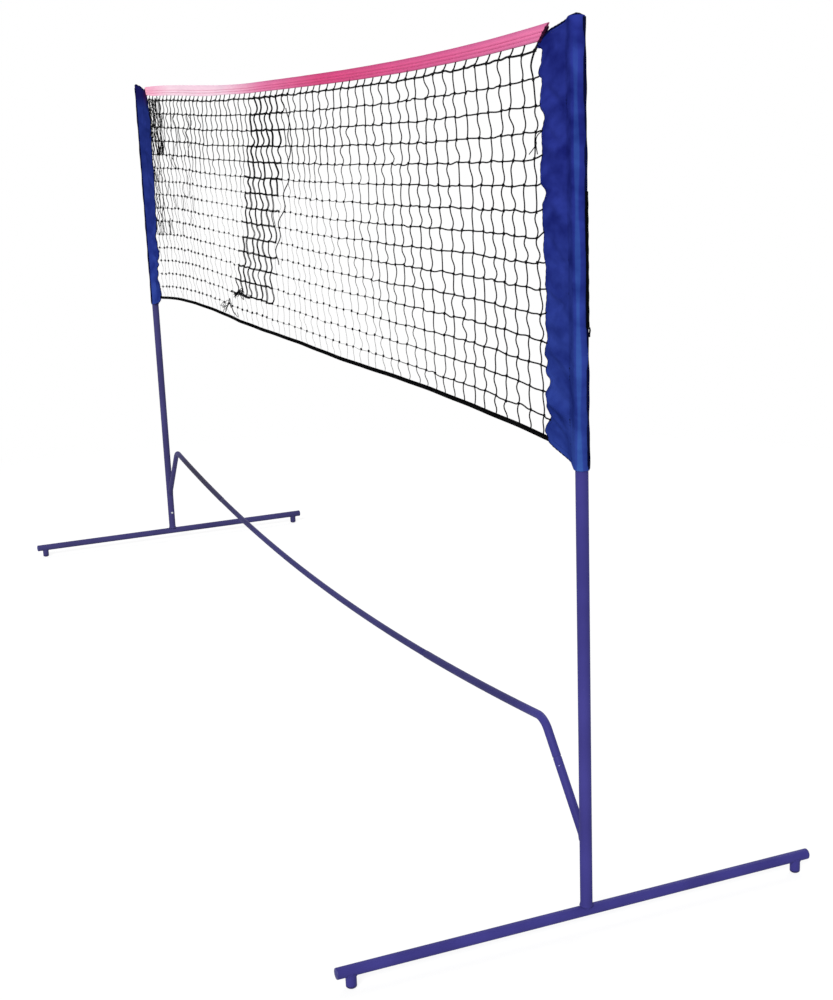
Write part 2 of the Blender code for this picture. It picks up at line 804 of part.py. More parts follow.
def sleeve(side, name, frame):
    inner = POST_RADIUS + POCKET_EASE
    outer = inner + CLOTH
    inner_taper = POCKET_TAPER * inner / outer
    pocket = pocket_solid("sleeve_" + name, side, outer, POCKET_TAPER, SLEEVE_LOW, HEIGHT, frame)
    part = add_part("sleeve_" + name, pocket.data, BLUE_CLOTH, smooth=False)
    part.parent = frame
    part.location = pocket.location
    bpy.data.objects.remove(pocket)

    seam = inner_taper + PANEL_LAP
    panel = bpy.data.objects.new("panel_" + name, panel_mesh("panel_" + name, side, seam))
    set_cutter_sheet(panel, frame)
    cut(part, panel, "UNION")

    bore = pocket_solid(
        "pocket_bore_" + name, side, inner, inner_taper, SLEEVE_LOW - CLOTH, HEIGHT - CLOTH, frame)
    set_cutter(bore)
    cut(part, bore)


def set_cutter_sheet(panel, frame):
    cutters.objects.link(panel)
    set_cutter(panel)
    panel.parent = frame
    sheet = panel.modifiers.new("cloth", "SOLIDIFY")
    sheet.thickness = PANEL_THICKNESS
    sheet.offset = 0


def closure_strip(side, name, frame):
    """The black strip that lies round the pocket's outer rear side, and its pull loop."""
    inner = POST_RADIUS + POCKET_EASE + CLOTH + CLEAR
    outer = inner + STRIP_THICKNESS
    bearings = spread(STRIP_BEARING - STRIP_HALF_WIDTH, STRIP_BEARING + STRIP_HALF_WIDTH, STRIP_SIDES)
    outline = [(side * outer * math.cos(a), outer * math.sin(a)) for a in bearings]
    outline += [(side * inner * math.cos(a), inner * math.sin(a)) for a in reversed(bearings)]
    shape = flat_outline("closure_strip_" + name, outline, STRIP_TOP - STRIP_LOW, axis="Z")
    part = add_part("closure_strip_" + name, shape.data, BLACK_CORD, smooth=False)
    bpy.data.objects.remove(shape)
    part.parent = frame
    part.location = (0, 0, (STRIP_LOW + STRIP_TOP) / 2)

    half = LOOP_WIDTH / 2 - LOOP_THICKNESS / 2
    rise = LOOP_LENGTH - LOOP_WIDTH
    line = [(half, rise)]
    for step in range(7):
        angle = -math.pi * step / 6
        line.append((half * math.cos(angle), half * math.sin(angle)))
    line.append((-half, rise))
    loop = swept("pull_loop_" + name, line, [LOOP_THICKNESS / 2] * len(line), CORD_SIDES)
    loop_part = add_part("pull_loop_" + name, loop.data, BLACK_CORD)
    bpy.data.objects.remove(loop)
    loop_part.parent = frame
    out = inner + LOOP_THICKNESS
    bearing = STRIP_BEARING
    loop_part.location = (
        side * out * math.cos(bearing), out * math.sin(bearing), STRIP_LOW - CLEAR - rise)
    loop_part.rotation_euler = (0, 0, side * (bearing - math.pi / 2))


def build():
    clear_scene()
    root = guide("frame", (0, 0, 0))
    net = guide("net_slide", (0, 0, 0))
    for side, name in ((-1, "left"), (1, "right")):
        frame = guide("frame_" + name, (side * SPAN / 2, 0, 0), root)
        foot(name, frame)
        post(side, name, frame)
        hole = socket(side, name, frame)
        knee(side, name, root, hole)
        bar(side, name, root)
        carrier = guide("sleeve_carrier_" + name, (side * SPAN / 2, 0, 0), net)
        sleeve(side, name, carrier)
        closure_strip(side, name, carrier)
    centre_spigot(root)
    netting(net)
    top_tape(net)
    hem_band(net)


build()
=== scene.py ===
"""Looks of the mini badminton net: twine, cloth, webbing, painted tube and the studio round them.

Metres, +Z up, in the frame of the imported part. The net hangs in the plane y = 0 and runs along X.
"""

import math

import bmesh
import bpy
import numpy as np
from mathutils import Matrix, Vector


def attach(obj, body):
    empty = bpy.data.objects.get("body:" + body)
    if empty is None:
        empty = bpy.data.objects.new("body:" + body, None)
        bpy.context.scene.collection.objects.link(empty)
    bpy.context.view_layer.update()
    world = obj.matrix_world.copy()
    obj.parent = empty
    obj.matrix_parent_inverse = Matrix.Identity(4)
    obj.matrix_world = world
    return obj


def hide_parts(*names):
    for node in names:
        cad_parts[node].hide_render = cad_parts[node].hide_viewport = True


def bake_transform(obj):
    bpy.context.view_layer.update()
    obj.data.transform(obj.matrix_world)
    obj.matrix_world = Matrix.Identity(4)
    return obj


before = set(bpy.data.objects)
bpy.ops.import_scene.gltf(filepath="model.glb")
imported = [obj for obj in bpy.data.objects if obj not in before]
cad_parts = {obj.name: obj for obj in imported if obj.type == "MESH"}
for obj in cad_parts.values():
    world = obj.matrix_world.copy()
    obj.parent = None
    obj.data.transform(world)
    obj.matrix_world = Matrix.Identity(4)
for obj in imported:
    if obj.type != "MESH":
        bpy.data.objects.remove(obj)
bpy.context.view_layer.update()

SIDES = ((-1, "left"), (1, "right"))

# Sizes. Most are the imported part's. Some, such as the tape's slanting ends, follow the photograph
SPAN = 3.000
HEIGHT = 1.550
CLEAR = 0.0003
FOOT_LENGTH = 0.950
FOOT_RADIUS = 0.010
FOOT_WALL = 0.0012
FOOT_AXIS_HEIGHT = 0.031
STUB_INSET = 0.028
STUB_RADIUS = 0.0095
TIP_THICKNESS = 0.0045
STUB_BORE = 0.0055
TIP_STEM = 0.0050
TIP_TOP = 0.0135
PLUG_HEAD = 0.003
PLUG_STEM = 0.012
PLUG_EDGE = 0.0014
POST_RADIUS = 0.011
POST_WALL = 0.0012
POST_JOINT_HEIGHT = 0.870
SWAGE_LENGTH = 0.060
SWAGE_RADIUS = 0.0093
CAP_HEAD = 0.003
CAP_STEM = 0.015
CAP_EDGE = 0.0012
SOCKET_HEIGHT = 0.160
SOCKET_RADIUS = 0.0080
SOCKET_WALL = 0.0012
SOCKET_LENGTH = 0.160
KNEE_REACH = 0.152
KNEE_HEIGHT = 0.342
KNEE_BEND = 0.045
KNEE_INSERT = 0.055
KNEE_SWAGE = 0.0064
BAR_RADIUS = 0.0080
BAR_MID_RADIUS = 0.0074
BAR_WALL = 0.0012
BAR_MID_HEIGHT = 0.2635
BAR_JOINT = 0.800
BAR_SWAGE = 0.060
BAR_SWAGE_RADIUS = 0.0062
SWAGE_SLOPE = 0.002
POST_BUTTON_HEIGHT = 0.097
POST_BUTTON_RADIUS = 0.0038
POST_BUTTON_STANDS_OUT = 0.0025
BAR_BUTTON_FROM_MOUTH = 0.0175
BAR_BUTTON_BEARING = math.radians(34)
BAR_BUTTON_RADIUS = 0.0025
BAR_BUTTON_STANDS_OUT = 0.0020
TAPE_END_DROP = 0.0045
TAPE_SAG = 0.031
TAPE_DEPTH = 0.025
TAPE_END_SLANT = {-1: 0.016, 1: 0.032}
FAR_TAPE_FOLD = 0.0055
TAPE_WALL = 0.0009
TAPE_SLOT = 0.0028
CORD_RADIUS = 0.0011
HEM_MID_HEIGHT = 0.8775
HEM_DROP = 0.013
HEM_DEPTH = 0.0085
HEM_WALL = 0.0008
HEM_SLOT = 0.0026
PANEL_REACH = 0.1185
PANEL_SHOULDER = 0.0925
SCALLOP = 0.0050
CLOTH = 0.0010
POCKET_TAPER = 0.036
POCKET_RADIUS = 0.0124
STRIP_LOW = 1.066
STRIP_TOP = 1.283
STRIP_THICKNESS = 0.0022
STRIP_BEARING = math.radians(62)
STRIP_HALF_WIDTH = math.radians(42)
LOOP_LENGTH = 0.018
LOOP_WIDTH = 0.008
LOOP_THICKNESS = 0.0016
LEAF_THICKNESS = 0.0006
FLANGE_LIP = 0.0012
CROWN = 0.0012
TUBE_SIDES = 48

# Stitches: pitch, length and the thread's radius. Then the tape's two sewn lines, as shares of its
# depth, and the number of tacks on each face of one end
TAPE_STITCH = (0.0062, 0.0046, 0.00042)
HEM_STITCH = (0.0058, 0.0042, 0.0004)
SLEEVE_STITCH = (0.0034, 0.0025, 0.00022)
STRIP_STITCH = (0.0032, 0.0024, 0.00025)
TAPE_SEWN = (0.49, 0.73)
TACKS = 19

# Netting as the photograph shows it
COLUMNS = 60
ROWS = 15
FIRST_KNOT = -1.365
LAST_KNOT = 1.3555
LAST_KNOT_DRIFT = 0.0085
ROW_BELOW_TAPE = 0.0135
ROW_ABOVE_HEM = 0.033
CELL_STEPS = 8
PLEAT_ROWS = 13
BUNCH_THREADS = 165
LASHING_END = 1.386

# Sleeves. The left one's crest leans to the front, and each pocket's flap has a bound edge
CREST_LEAN = -0.7
FLAP_BEARING = {-1: math.radians(-77), 1: math.radians(62)}
SLEEVE_ROWS = 150
SLEEVE_WALL = 0.0009

# Inner edges of the sleeves, pulled into points by the rows: height, and reach from the post's axis
SLEEVE_EDGE = {
    1: ((0.856, 0.112), (0.867, 0.114), (0.8773, 0.1252), (0.9064, 0.1065), (0.9203, 0.1174),
        (0.9414, 0.115), (0.9635, 0.104), (0.9819, 0.1204), (0.998, 0.114), (1.01, 0.1252),
        (1.039, 0.1131), (1.0788, 0.1187), (1.114, 0.1143), (1.125, 0.1165), (1.156, 0.1144),
        (1.1884, 0.1215), (1.2278, 0.1231), (1.257, 0.1217), (1.278, 0.104), (1.296, 0.1275),
        (1.32, 0.129), (1.342, 0.1215), (1.35, 0.1184), (1.377, 0.1225), (1.399, 0.1118),
        (1.419, 0.1285), (1.43, 0.1262), (1.46, 0.1197), (1.469, 0.13), (1.486, 0.119),
        (1.504, 0.115), (1.5145, 0.1335), (1.519, 0.128)),
    -1: ((0.856, 0.09), (0.8628, 0.094), (0.872, 0.088), (0.893, 0.104), (0.8982, 0.086),
         (0.9282, 0.096), (0.969, 0.088), (1.0047, 0.106), (1.0441, 0.088), (1.0871, 0.104),
         (1.1193, 0.098), (1.1659, 0.114), (1.2163, 0.1195), (1.2766, 0.126), (1.3367, 0.12),
         (1.397, 0.13), (1.455, 0.128), (1.4955, 0.113), (1.519, 0.104)),
}


def linear(*channels):
    """Scene colour of an sRGB colour written 0 to 255."""
    out = []
    for channel in channels:
        value = channel / 255
        out.append(value / 12.92 if value <= 0.04045 else ((value + 0.055) / 1.055) ** 2.4)
    return (*out, 1.0)


def smooth(share):
    """0 below 0, 1 above 1, and an even turn between."""
    share = np.clip(share, 0, 1)
    return share * share * (3 - 2 * share)


def hill(at, middle, width, power=2):
    return np.exp(-np.abs((at - middle) / width) ** power)


def eased(at, points):
    """A soft line through points of (place, value), level at each one."""
    place, value = np.array(points).T
    step = np.clip(np.searchsorted(place, at) - 1, 0, len(place) - 2)
    share = smooth((at - place[step]) / (place[step + 1] - place[step]))
    return value[step] + (value[step + 1] - value[step]) * share


# Lines that several pieces share

def tape_reach():
    return SPAN / 2 - PANEL_SHOULDER


def tape_top(x):
    """Upper edge of the tape. The far half rises sooner than the near one."""
    share = np.abs(x) / tape_reach()
    rise = np.where(x < 0, smooth((share - 0.15) / 0.85), share ** 3)
    return HEIGHT - TAPE_END_DROP - TAPE_SAG * (1 - rise)


def tape_sway(x):
    return (0.0007 * np.sin(17 * x) + 0.0004 * np.sin(43 * x + 1)) * (1 - np.abs(x / 1.42) ** 6)


def tape_depth(x):
    """The far end of the tape is folded a little deeper."""
    return TAPE_DEPTH + FAR_TAPE_FOLD * smooth((-x - 0.40) / 0.35) * smooth((x + 1.42) / 0.15)


def net_half():
    return SPAN / 2 - PANEL_REACH - SCALLOP - CLEAR


def hem_top(x):
    share = np.abs(x) / net_half()
    lift = np.where(x < 0, 0.009 * np.sin(math.pi * np.clip((share - 0.35) / 0.65, 0, 1)), 0)
    dip = 0.003 * hill(x, 0.3, 0.25)
    return HEM_MID_HEIGHT + HEM_DEPTH / 2 - HEM_DROP * np.minimum(share, 1.02) ** 6 + lift - dip


def hem_sway(x):
    return 0.0016 * np.sin(9 * x + 0.6) + 0.0007 * np.sin(31 * x)


def row_height(x, share):
    """Height of the netting's rows, from the first at share 0 to the last at 1."""
    top = tape_top(x) - tape_depth(x) - ROW_BELOW_TAPE
    low = hem_top(x) + ROW_ABOVE_HEM
    return top + (low - top) * share


def bar_line(x):
    return BAR_MID_HEIGHT + (KNEE_HEIGHT - BAR_MID_HEIGHT) * (x / (SPAN / 2 - KNEE_REACH)) ** 2


def socket_angle():
    return math.atan2(KNEE_REACH, KNEE_HEIGHT - SOCKET_HEIGHT)


# Mesh helpers

def unit(vectors):
    return vectors / np.linalg.norm(vectors, axis=-1, keepdims=True)


def lengths_along(path, closed=False):
    """Metres run at each point of a path, and once more at the first where it is closed."""
    if closed:
        path = np.concatenate([path, path[:1]])
    steps = np.linalg.norm(np.diff(path, axis=0), axis=1)
    return np.concatenate([[0], np.cumsum(steps)])


def directions(path, up, closed=False):
    """The way ahead at each point of a path, and two directions square to it."""
    if closed:
        ahead = unit(np.roll(path, -1, 0) - np.roll(path, 1, 0))
    else:
        ahead = unit(np.gradient(path, axis=0))
    first = unit(np.cross(ahead, up))
    return ahead, first, np.cross(ahead, first)


def circle(sides, first, second):
    """Arms of length 1, turning from one direction to another."""
    angle = np.arange(sides) * math.tau / sides
    return np.cos(angle)[:, None] * first + np.sin(angle)[:, None] * second


def girth(sides, radius):
    """Metres run round a tube, at each of its sides and back at the first."""
    return np.arange(sides + 1) / sides * math.tau * radius


def points_at(x, y, z):
    """Points from three coordinates, any of which may be one number."""
    return np.stack(np.broadcast_arrays(x, y, z), -1)


class Shape:
    """Points, faces and texture places of a piece under construction."""

    def __init__(self):
        self.points = []
        self.faces = []
        self.places = []
        self.count = 0

    def grid(self, points, u, v, around=False, along=False, ends=False):
        """Rows of points joined by faces, with u for each column and v for each row."""
        rows, columns = points.shape[:2]
        r, c = np.meshgrid(np.arange(rows - 1 + along), np.arange(columns - 1 + around), indexing="ij")
        r = r.ravel()
        c = c.ravel()
        below = (r + 1) % rows
        beside = (c + 1) % columns
        corners = [r * columns + c, r * columns + beside, below * columns + beside, below * columns + c]
        u = np.asarray(u, float)
        v = np.asarray(v, float)
        where = [u[c], v[r], u[c + 1], v[r], u[c + 1], v[r + 1], u[c], v[r + 1]]
        self.points.append(points.reshape(-1, 3))
        self.faces.append(np.stack(corners, 1) + self.count)
        self.places.append(np.stack(where, 1))
        self.count += rows * columns
        if ends:
            # One face over the first row, and one over the last
            for first in (self.count - rows * columns, self.count - columns):
                self.faces.append(np.arange(first, first + columns)[None])
                self.places.append(np.zeros((1, 2 * columns)))

    def tube(self, path, radius, sides=6, up=(0, 1, 0), closed=False):
        """A solid rod along path."""
        path = np.asarray(path, float)
        _, first, second = directions(path, up, closed)
        radius = np.broadcast_to(radius, len(path))[:, None, None]
        rings = path[:, None] + radius * circle(sides, first[:, None], second[:, None])
        share = np.arange(sides + 1) / sides
        self.grid(rings, share, lengths_along(path, closed), around=True, along=closed, ends=not closed)

    def turned(self, profile, origin, axis, sides=TUBE_SIDES, closed=False):
        """A profile of (radius, height) points turned about an axis."""
        axis = unit(np.asarray(axis, float))
        helper = (1, 0, 0) if abs(axis[1]) > 0.9 else (0, 1, 0)
        first = unit(np.cross(axis, helper))
        arm = circle(sides, first, np.cross(axis, first))
        profile = np.asarray(profile, float)
        rings = np.asarray(origin) + profile[:, 1, None, None] * axis + profile[:, 0, None, None] * arm
        run = lengths_along(profile, closed)
        self.grid(rings, girth(sides, profile[:, 0].max()), run, around=True, along=closed)

    def pipe(self, path, outer, wall, sides=40, lip=0.0004):
        """A hollow tube along a path in the plane of the net, its rims rounded."""
        path = np.asarray(path, float)
        ahead, first, second = directions(path, (0, 1, 0))
        last = len(path) - 1
        stations = [(path[0], outer[0] - lip, 0), (path[0] + ahead[0] * lip, outer[0], 0)]
        stations += [(path[k], outer[k], k) for k in range(1, last)]
        stations += [(path[-1] - ahead[-1] * lip, outer[-1], -1), (path[-1], outer[-1] - lip, -1)]
        stations += [(path[k], outer[k] - wall, k) for k in range(last, -1, -1)]
        rings = np.array([
            centre + radius * circle(sides, first[k], second[k]) for centre, radius, k in stations])
        run = lengths_along(rings[:, 0])
        self.grid(rings, girth(sides, max(outer)), np.append(run, run[-1] + wall), around=True, along=True)

    def stitches(self, path, out, pitch, length, radius, sides=5):
        """Short threads laid end to end on a path, with a gap between them."""
        path = np.asarray(path, float)
        out = np.broadcast_to(np.asarray(out, float), path.shape)
        run = lengths_along(path)
        shares = np.array([-0.5, -0.34, 0, 0.34, 0.5])
        rise = np.array([-0.6, 0.2, 0.6, 0.2, -0.6]) * radius
        width = np.array([0.45, 0.9, 1, 0.9, 0.45]) * radius
        for centre in np.arange(pitch / 2, run[-1], pitch):
            at = centre + shares * length
            spots = np.stack([np.interp(at, run, path[:, axis]) for axis in range(3)], 1)
            lift = np.stack([np.interp(at, run, out[:, axis]) for axis in range(3)], 1)
            self.tube(spots + lift * rise[:, None], width, sides, up=lift[2] + (0.013, 0.007, 0.011))

    def piece(self, name, material, body, angle=40, nodes=()):
        mesh = bpy.data.meshes.new(name)
        faces = [face for block in self.faces for face in block.tolist()]
        mesh.from_pydata(np.concatenate(self.points).tolist(), [], faces)
        layer = mesh.uv_layers.new(name="metres")
        layer.data.foreach_set("uv", np.concatenate([block.ravel() for block in self.places]))
        shape = bmesh.new()
        shape.from_mesh(mesh)
        bmesh.ops.remove_doubles(shape, verts=shape.verts, dist=0.000001)
        bmesh.ops.recalc_face_normals(shape, faces=shape.faces)
        shape.to_mesh(mesh)
        shape.free()
        mesh.materials.append(material)
        mesh.shade_smooth()
        mesh.set_sharp_from_angle(angle=math.radians(angle))
        thing = bpy.data.objects.new(name, mesh)
        bpy.context.scene.collection.objects.link(thing)
        if body:
            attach(thing, body)
        if nodes:
            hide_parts(*nodes)
        return thing


# Material helpers

class Nodes:
    """A node material under construction."""

    def __init__(self, name):
        self.material = bpy.data.materials.new(name)
        self.material.use_nodes = True
        self.tree = self.material.node_tree
        self.shader = self.tree.nodes["Principled BSDF"]

    def add(self, kind, **values):
        node = self.tree.nodes.new("ShaderNode" + kind)
        for key, value in values.items():
            if hasattr(node, key):
                setattr(node, key, value)
            else:
                node.inputs[key.replace("_", " ")].default_value = value
        return node

    def link(self, source, target):
        self.tree.links.new(source, target)

    def place(self, scale=(1, 1, 1), output="Object", turn=0.0):
        """Coordinates that stay with the piece, in metres, times scale."""
        where = self.add("TexCoord")
        mapping = self.add("Mapping", Scale=scale, Rotation=(0, 0, turn))
        self.link(where.outputs[output], mapping.inputs["Vector"])
        return mapping.outputs["Vector"]

    def feed(self, socket, value):
        """Set a socket to a number or a colour, or link it."""
        if isinstance(value, (int, float, tuple)):
            socket.default_value = value
        elif value is not None:
            self.link(value, socket)

    def axis(self, name, output="Object"):
        split = self.add("SeparateXYZ")
        self.link(self.place(output=output), split.inputs[0])
        return split.outputs[name]

    def noise(self, size, detail=3.0, roughness=0.5, scale=(1, 1, 1), output="Object", turn=0.0):
        node = self.add("TexNoise", Scale=1 / size, Detail=detail, Roughness=roughness)
        self.link(self.place(scale, output, turn), node.inputs["Vector"])
        return node.outputs["Fac"]

    def ramp(self, value, stops):
        node = self.add("ValToRGB")
        while len(node.color_ramp.elements) < len(stops):
            node.color_ramp.elements.new(0.5)
        for element, (place, colour) in zip(node.color_ramp.elements, stops):
            element.position = place
            element.color = colour
        self.link(value, node.inputs["Fac"])
        return node.outputs["Color"]

    def tones(self, value, dark, light, start=0.3, end=0.7):
        """One sRGB colour where value is below start, another where it is above end."""
        return self.ramp(value, [(start, linear(*dark)), (end, linear(*light))])

    def math(self, operation, first, second=None):
        node = self.add("Math", operation=operation)
        self.feed(node.inputs[0], first)
        self.feed(node.inputs[1], second)
        return node.outputs[0]

    def times(self, first, second):
        return self.math("MULTIPLY", first, second)

    def spread(self, value, low, high, from_low=0.0, from_high=1.0):
        node = self.add("MapRange", From_Min=from_low, From_Max=from_high, To_Min=low, To_Max=high)
        self.link(value, node.inputs["Value"])
        return node.outputs["Result"]

    def over(self, axis, low, high, start, end):
        """From low to high between two places on an axis of the object."""
        return self.spread(self.axis(axis), low, high, start, end)

    def wave(self, value, pitch):
        """Even ups and downs from -1 to 1, one for each pitch."""
        return self.math("SINE", self.times(value, math.tau / pitch))

    def mix(self, factor, first, second, blend="MIX"):
        node = self.add("Mix", data_type="RGBA", blend_type=blend)
        for place, value in ((0, factor), (6, first), (7, second)):
            self.feed(node.inputs[place], value)
        return node.outputs[2]

    def bump(self, height, distance, strength=1.0, normal=None):
        node = self.add("Bump", Distance=distance, Strength=strength)
        self.link(height, node.inputs["Height"])
        self.feed(node.inputs["Normal"], normal)
        return node.outputs["Normal"]

    def weave(self, pitch):
        """Normals of crossing warp and weft on slightly crumpled cloth."""
        crossing = self.times(*[self.wave(self.axis(way, "UV"), 2 * pitch) for way in "XY"])
        crumple = self.bump(self.noise(0.022, detail=3), 0.0012, 0.35)
        return self.bump(self.spread(crossing, 0, 1, -1, 1), 0.00012, 0.5, crumple)

    def finish(self, colour=None, roughness=None, normal=None, **fixed):
        for socket, value in (("Base Color", colour), ("Roughness", roughness), ("Normal", normal)):
            self.feed(self.shader.inputs[socket], value)
        for key, value in fixed.items():
            self.shader.inputs[key.replace("_", " ")].default_value = value
        return self.material


def paint_material():
    """Satin violet enamel, greyer on the bar and the far side as painted shade, with faint orange peel and
    dull scuffs.
    """
    n = Nodes("blue_paint")
    tone = n.noise(0.11, detail=2)
    # near is the paint itself. bar and far are darker, greyer copies of it: painted shade on the bar and at
    # the far end of the frame
    near = n.tones(tone, (54, 51, 116), (61, 58, 128), 0.35, 0.65)
    bar = n.tones(tone, (42, 40, 91), (49, 46, 102), 0.35, 0.65)
    far = n.tones(tone, (55, 52, 96), (62, 59, 107), 0.35, 0.65)
    # More painted shade: the bar darkens towards a near-black navy over its far half
    bar = n.mix(n.over("X", 0.8, 0.0, -1.0, -0.3), bar, linear(36, 33, 46))
    colour = n.mix(n.over("X", 0.0, 1.0, 1.20, 1.32), bar, near)
    colour = n.mix(n.over("X", 1.0, 0.0, -1.33, -1.20), colour, far)
    scuff = n.ramp(n.noise(0.013, detail=5, roughness=0.7), [(0.62, (0, 0, 0, 1)), (0.74, (1, 1, 1, 1))])
    colour = n.mix(n.times(scuff, 0.2), colour, linear(82, 80, 136))
    roughness = n.spread(n.noise(0.02, detail=4), 0.40, 0.54)
    peel = n.bump(n.noise(0.0016, detail=1), 0.00006, 0.5)
    return n.finish(colour, roughness, peel, Specular_IOR_Level=0.08, IOR=1.4)


def steel_material(name, shade):
    n = Nodes(name)
    colour = n.tones(n.noise(0.004, detail=2), [s - 12 for s in shade], shade)
    roughness = n.spread(n.noise(0.0007, detail=3), 0.18, 0.38)
    scratch = n.bump(n.noise(0.0012, detail=4, scale=(1, 1, 6)), 0.00002, 0.6)
    return n.finish(colour, roughness, scratch, Metallic=1.0)


def moulded_material(name, shade, rough):
    n = Nodes(name)
    colour = n.tones(n.noise(0.03, detail=2), [s * 0.88 for s in shade], shade)
    grain = n.bump(n.noise(0.0005, detail=2), 0.00003, 0.7)
    roughness = n.spread(n.noise(0.01, detail=3), rough - 0.06, rough + 0.08)
    return n.finish(colour, roughness, grain, Specular_IOR_Level=0.3)


def twine_material(name="black_twine", dark=(6, 6, 8), light=(20, 20, 24), lay=0.0045):
    """Twisted thread: the lay runs round it as it goes along."""
    n = Nodes(name)
    colour = n.tones(n.noise(0.006, detail=3), dark, light, 0.3, 0.75)
    turn = n.times(n.axis("X", "UV"), 3.0)
    run = n.math("DIVIDE", n.axis("Y", "UV"), lay / 3)
    strand = n.math("SINE", n.times(n.math("ADD", turn, run), math.tau))
    fuzz = n.bump(n.noise(0.0006, detail=2), 0.0001, 0.5)
    twist = n.bump(n.spread(strand, 0, 1, -1, 1), 0.0002, 0.8, fuzz)
    return n.finish(colour, 0.9, twist, Specular_IOR_Level=0.15, IOR=1.3)


def cloth_material(name, dark, light, pitch):
    """Plain woven cloth: warp and weft crossing, with slight shade."""
    n = Nodes(name)
    colour = n.tones(n.noise(0.045, detail=4), dark, light, 0.36, 0.64)
    return n.finish(colour, 0.9, n.weave(pitch), Specular_IOR_Level=0.0)


def sleeve_material():
    """Blue woven cloth, deep high up, with painted light: crease shading on the slant, a lighter sheen low
    down and a highlight over each post.
    """
    n = Nodes("blue_cloth")
    # Painted light: slanting noise shades and sheens the creases, and the second tone is the cloth as lit
    painted_crease_shading = n.noise(0.034, detail=3, scale=(0.6, 1, 1), output="UV", turn=math.radians(24))
    tone = n.mix(0.45, painted_crease_shading, n.noise(0.08, detail=3))
    deep = n.tones(tone, (24, 31, 104), (42, 53, 138), 0.38, 0.62)
    pale = n.tones(tone, (36, 60, 130), (52, 84, 154), 0.38, 0.62)
    # Lighter towards the bottom: painted sheen
    low = n.over("Z", 0.36, 0.0, 0.85, 1.30)
    # A painted highlight down the front of the outer side, over the post
    outward = n.math("SUBTRACT", n.math("ABSOLUTE", n.axis("X")), SPAN / 2)
    forward = n.math("SUBTRACT", n.times(outward, 0.70), n.times(n.axis("Y"), 0.71))
    painted_highlight = n.spread(forward, 0.0, 1.0, 0.945 * POCKET_RADIUS, 0.995 * POCKET_RADIUS)
    painted_highlight = n.times(painted_highlight, n.over("Z", 0.60, 0.0, 1.43, 1.53))
    colour = n.mix(n.math("MINIMUM", n.math("ADD", low, painted_highlight), 1.0), deep, pale)
    # A dark rim over the post's top
    rim = n.times(n.over("Z", 0, 1, 1.5488, 1.5498), n.spread(outward, 0, 1, -0.030, -0.022))
    colour = n.mix(rim, colour, linear(12, 15, 54))
    # Painted shade on the far sleeve: it is duller high up, and its top is darker
    dull = n.times(n.over("Z", 0, 0.5, 1.00, 1.30), n.over("X", 1, 0, -1.2, -1.1))
    colour = n.mix(dull, colour, linear(26, 42, 94))
    corner = n.times(n.over("Z", 0, 0.9, 1.482, 1.518), n.over("X", 1, 0, -1.2, -1.1))
    maroon = n.mix(n.spread(outward, 1, 0, -0.085, -0.050), linear(22, 18, 72), linear(44, 8, 54))
    colour = n.mix(corner, colour, maroon)
    return n.finish(colour, 0.8, n.weave(0.0008), Specular_IOR_Level=0.0)


def tape_material():
    """Pink satin webbing. UV holds metres along it and the share of its depth."""
    n = Nodes("pink_tape")
    # Painted light along the tape: washed out to a whitish pink over its far half, deep rose over the near
    # half
    shade = n.ramp(n.over("X", 0, 1, -1.4, 1.4), [(place, linear(*colour)) for place, colour in (
        (0.00, (252, 170, 197)), (0.05, (249, 188, 211)), (0.12, (249, 216, 229)), (0.32, (248, 210, 226)),
        (0.45, (232, 122, 168)), (0.61, (219, 66, 125)), (0.85, (226, 94, 149)), (1.00, (238, 124, 172)))])
    # Threefold band, with painted shade at both edges and along the two sewn lines
    lines = n.ramp(n.axis("Y", "UV"), [(place, (*colour, 1)) for place, colour in (
        (0.00, (0.62, 0.60, 0.66)), (0.14, (0.82, 0.84, 0.88)), (0.36, (1, 1, 1)), (0.47, (0.80, 0.74, 0.80)),
        (0.58, (1, 1, 1)), (0.72, (0.78, 0.72, 0.78)), (0.84, (0.92, 0.96, 0.96)),
        (1.00, (0.60, 0.62, 0.66)))])
    # Towards the far end, painted light also washes out the painted shade of the edges and sewn lines
    pale = n.over("X", 1.0, 0.0, -0.6, 0.1)
    lines = n.mix(n.times(pale, 0.75), lines, (1, 1, 1, 1))
    colour = n.mix(1.0, shade, lines, "MULTIPLY")
    grain = n.noise(0.02, detail=5, scale=(0.3, 1, 1))
    streak = n.ramp(grain, [(0.3, (0.92, 0.9, 0.92, 1)), (0.7, (1, 1, 1, 1))])
    colour = n.mix(1.0, colour, streak, "MULTIPLY")
    rib = n.spread(n.wave(n.axis("X", "UV"), 0.0011), 0, 1, -1, 1)
    soft = n.bump(n.noise(0.006, detail=4), 0.0003, 0.4)
    return n.finish(colour, 0.7, n.bump(rib, 0.00012, 0.6, soft), Specular_IOR_Level=0.2)


def fleece_material():
    """Napped face of a touch-and-close strip."""
    n = Nodes("black_fleece")
    colour = n.tones(n.noise(0.0015, detail=4), (2, 2, 4), (9, 9, 12), 0.35, 0.7)
    nap = n.bump(n.noise(0.0007, detail=5, roughness=0.8), 0.0005, 0.8)
    return n.finish(colour, 0.95, nap, Specular_IOR_Level=0.04, IOR=1.3)


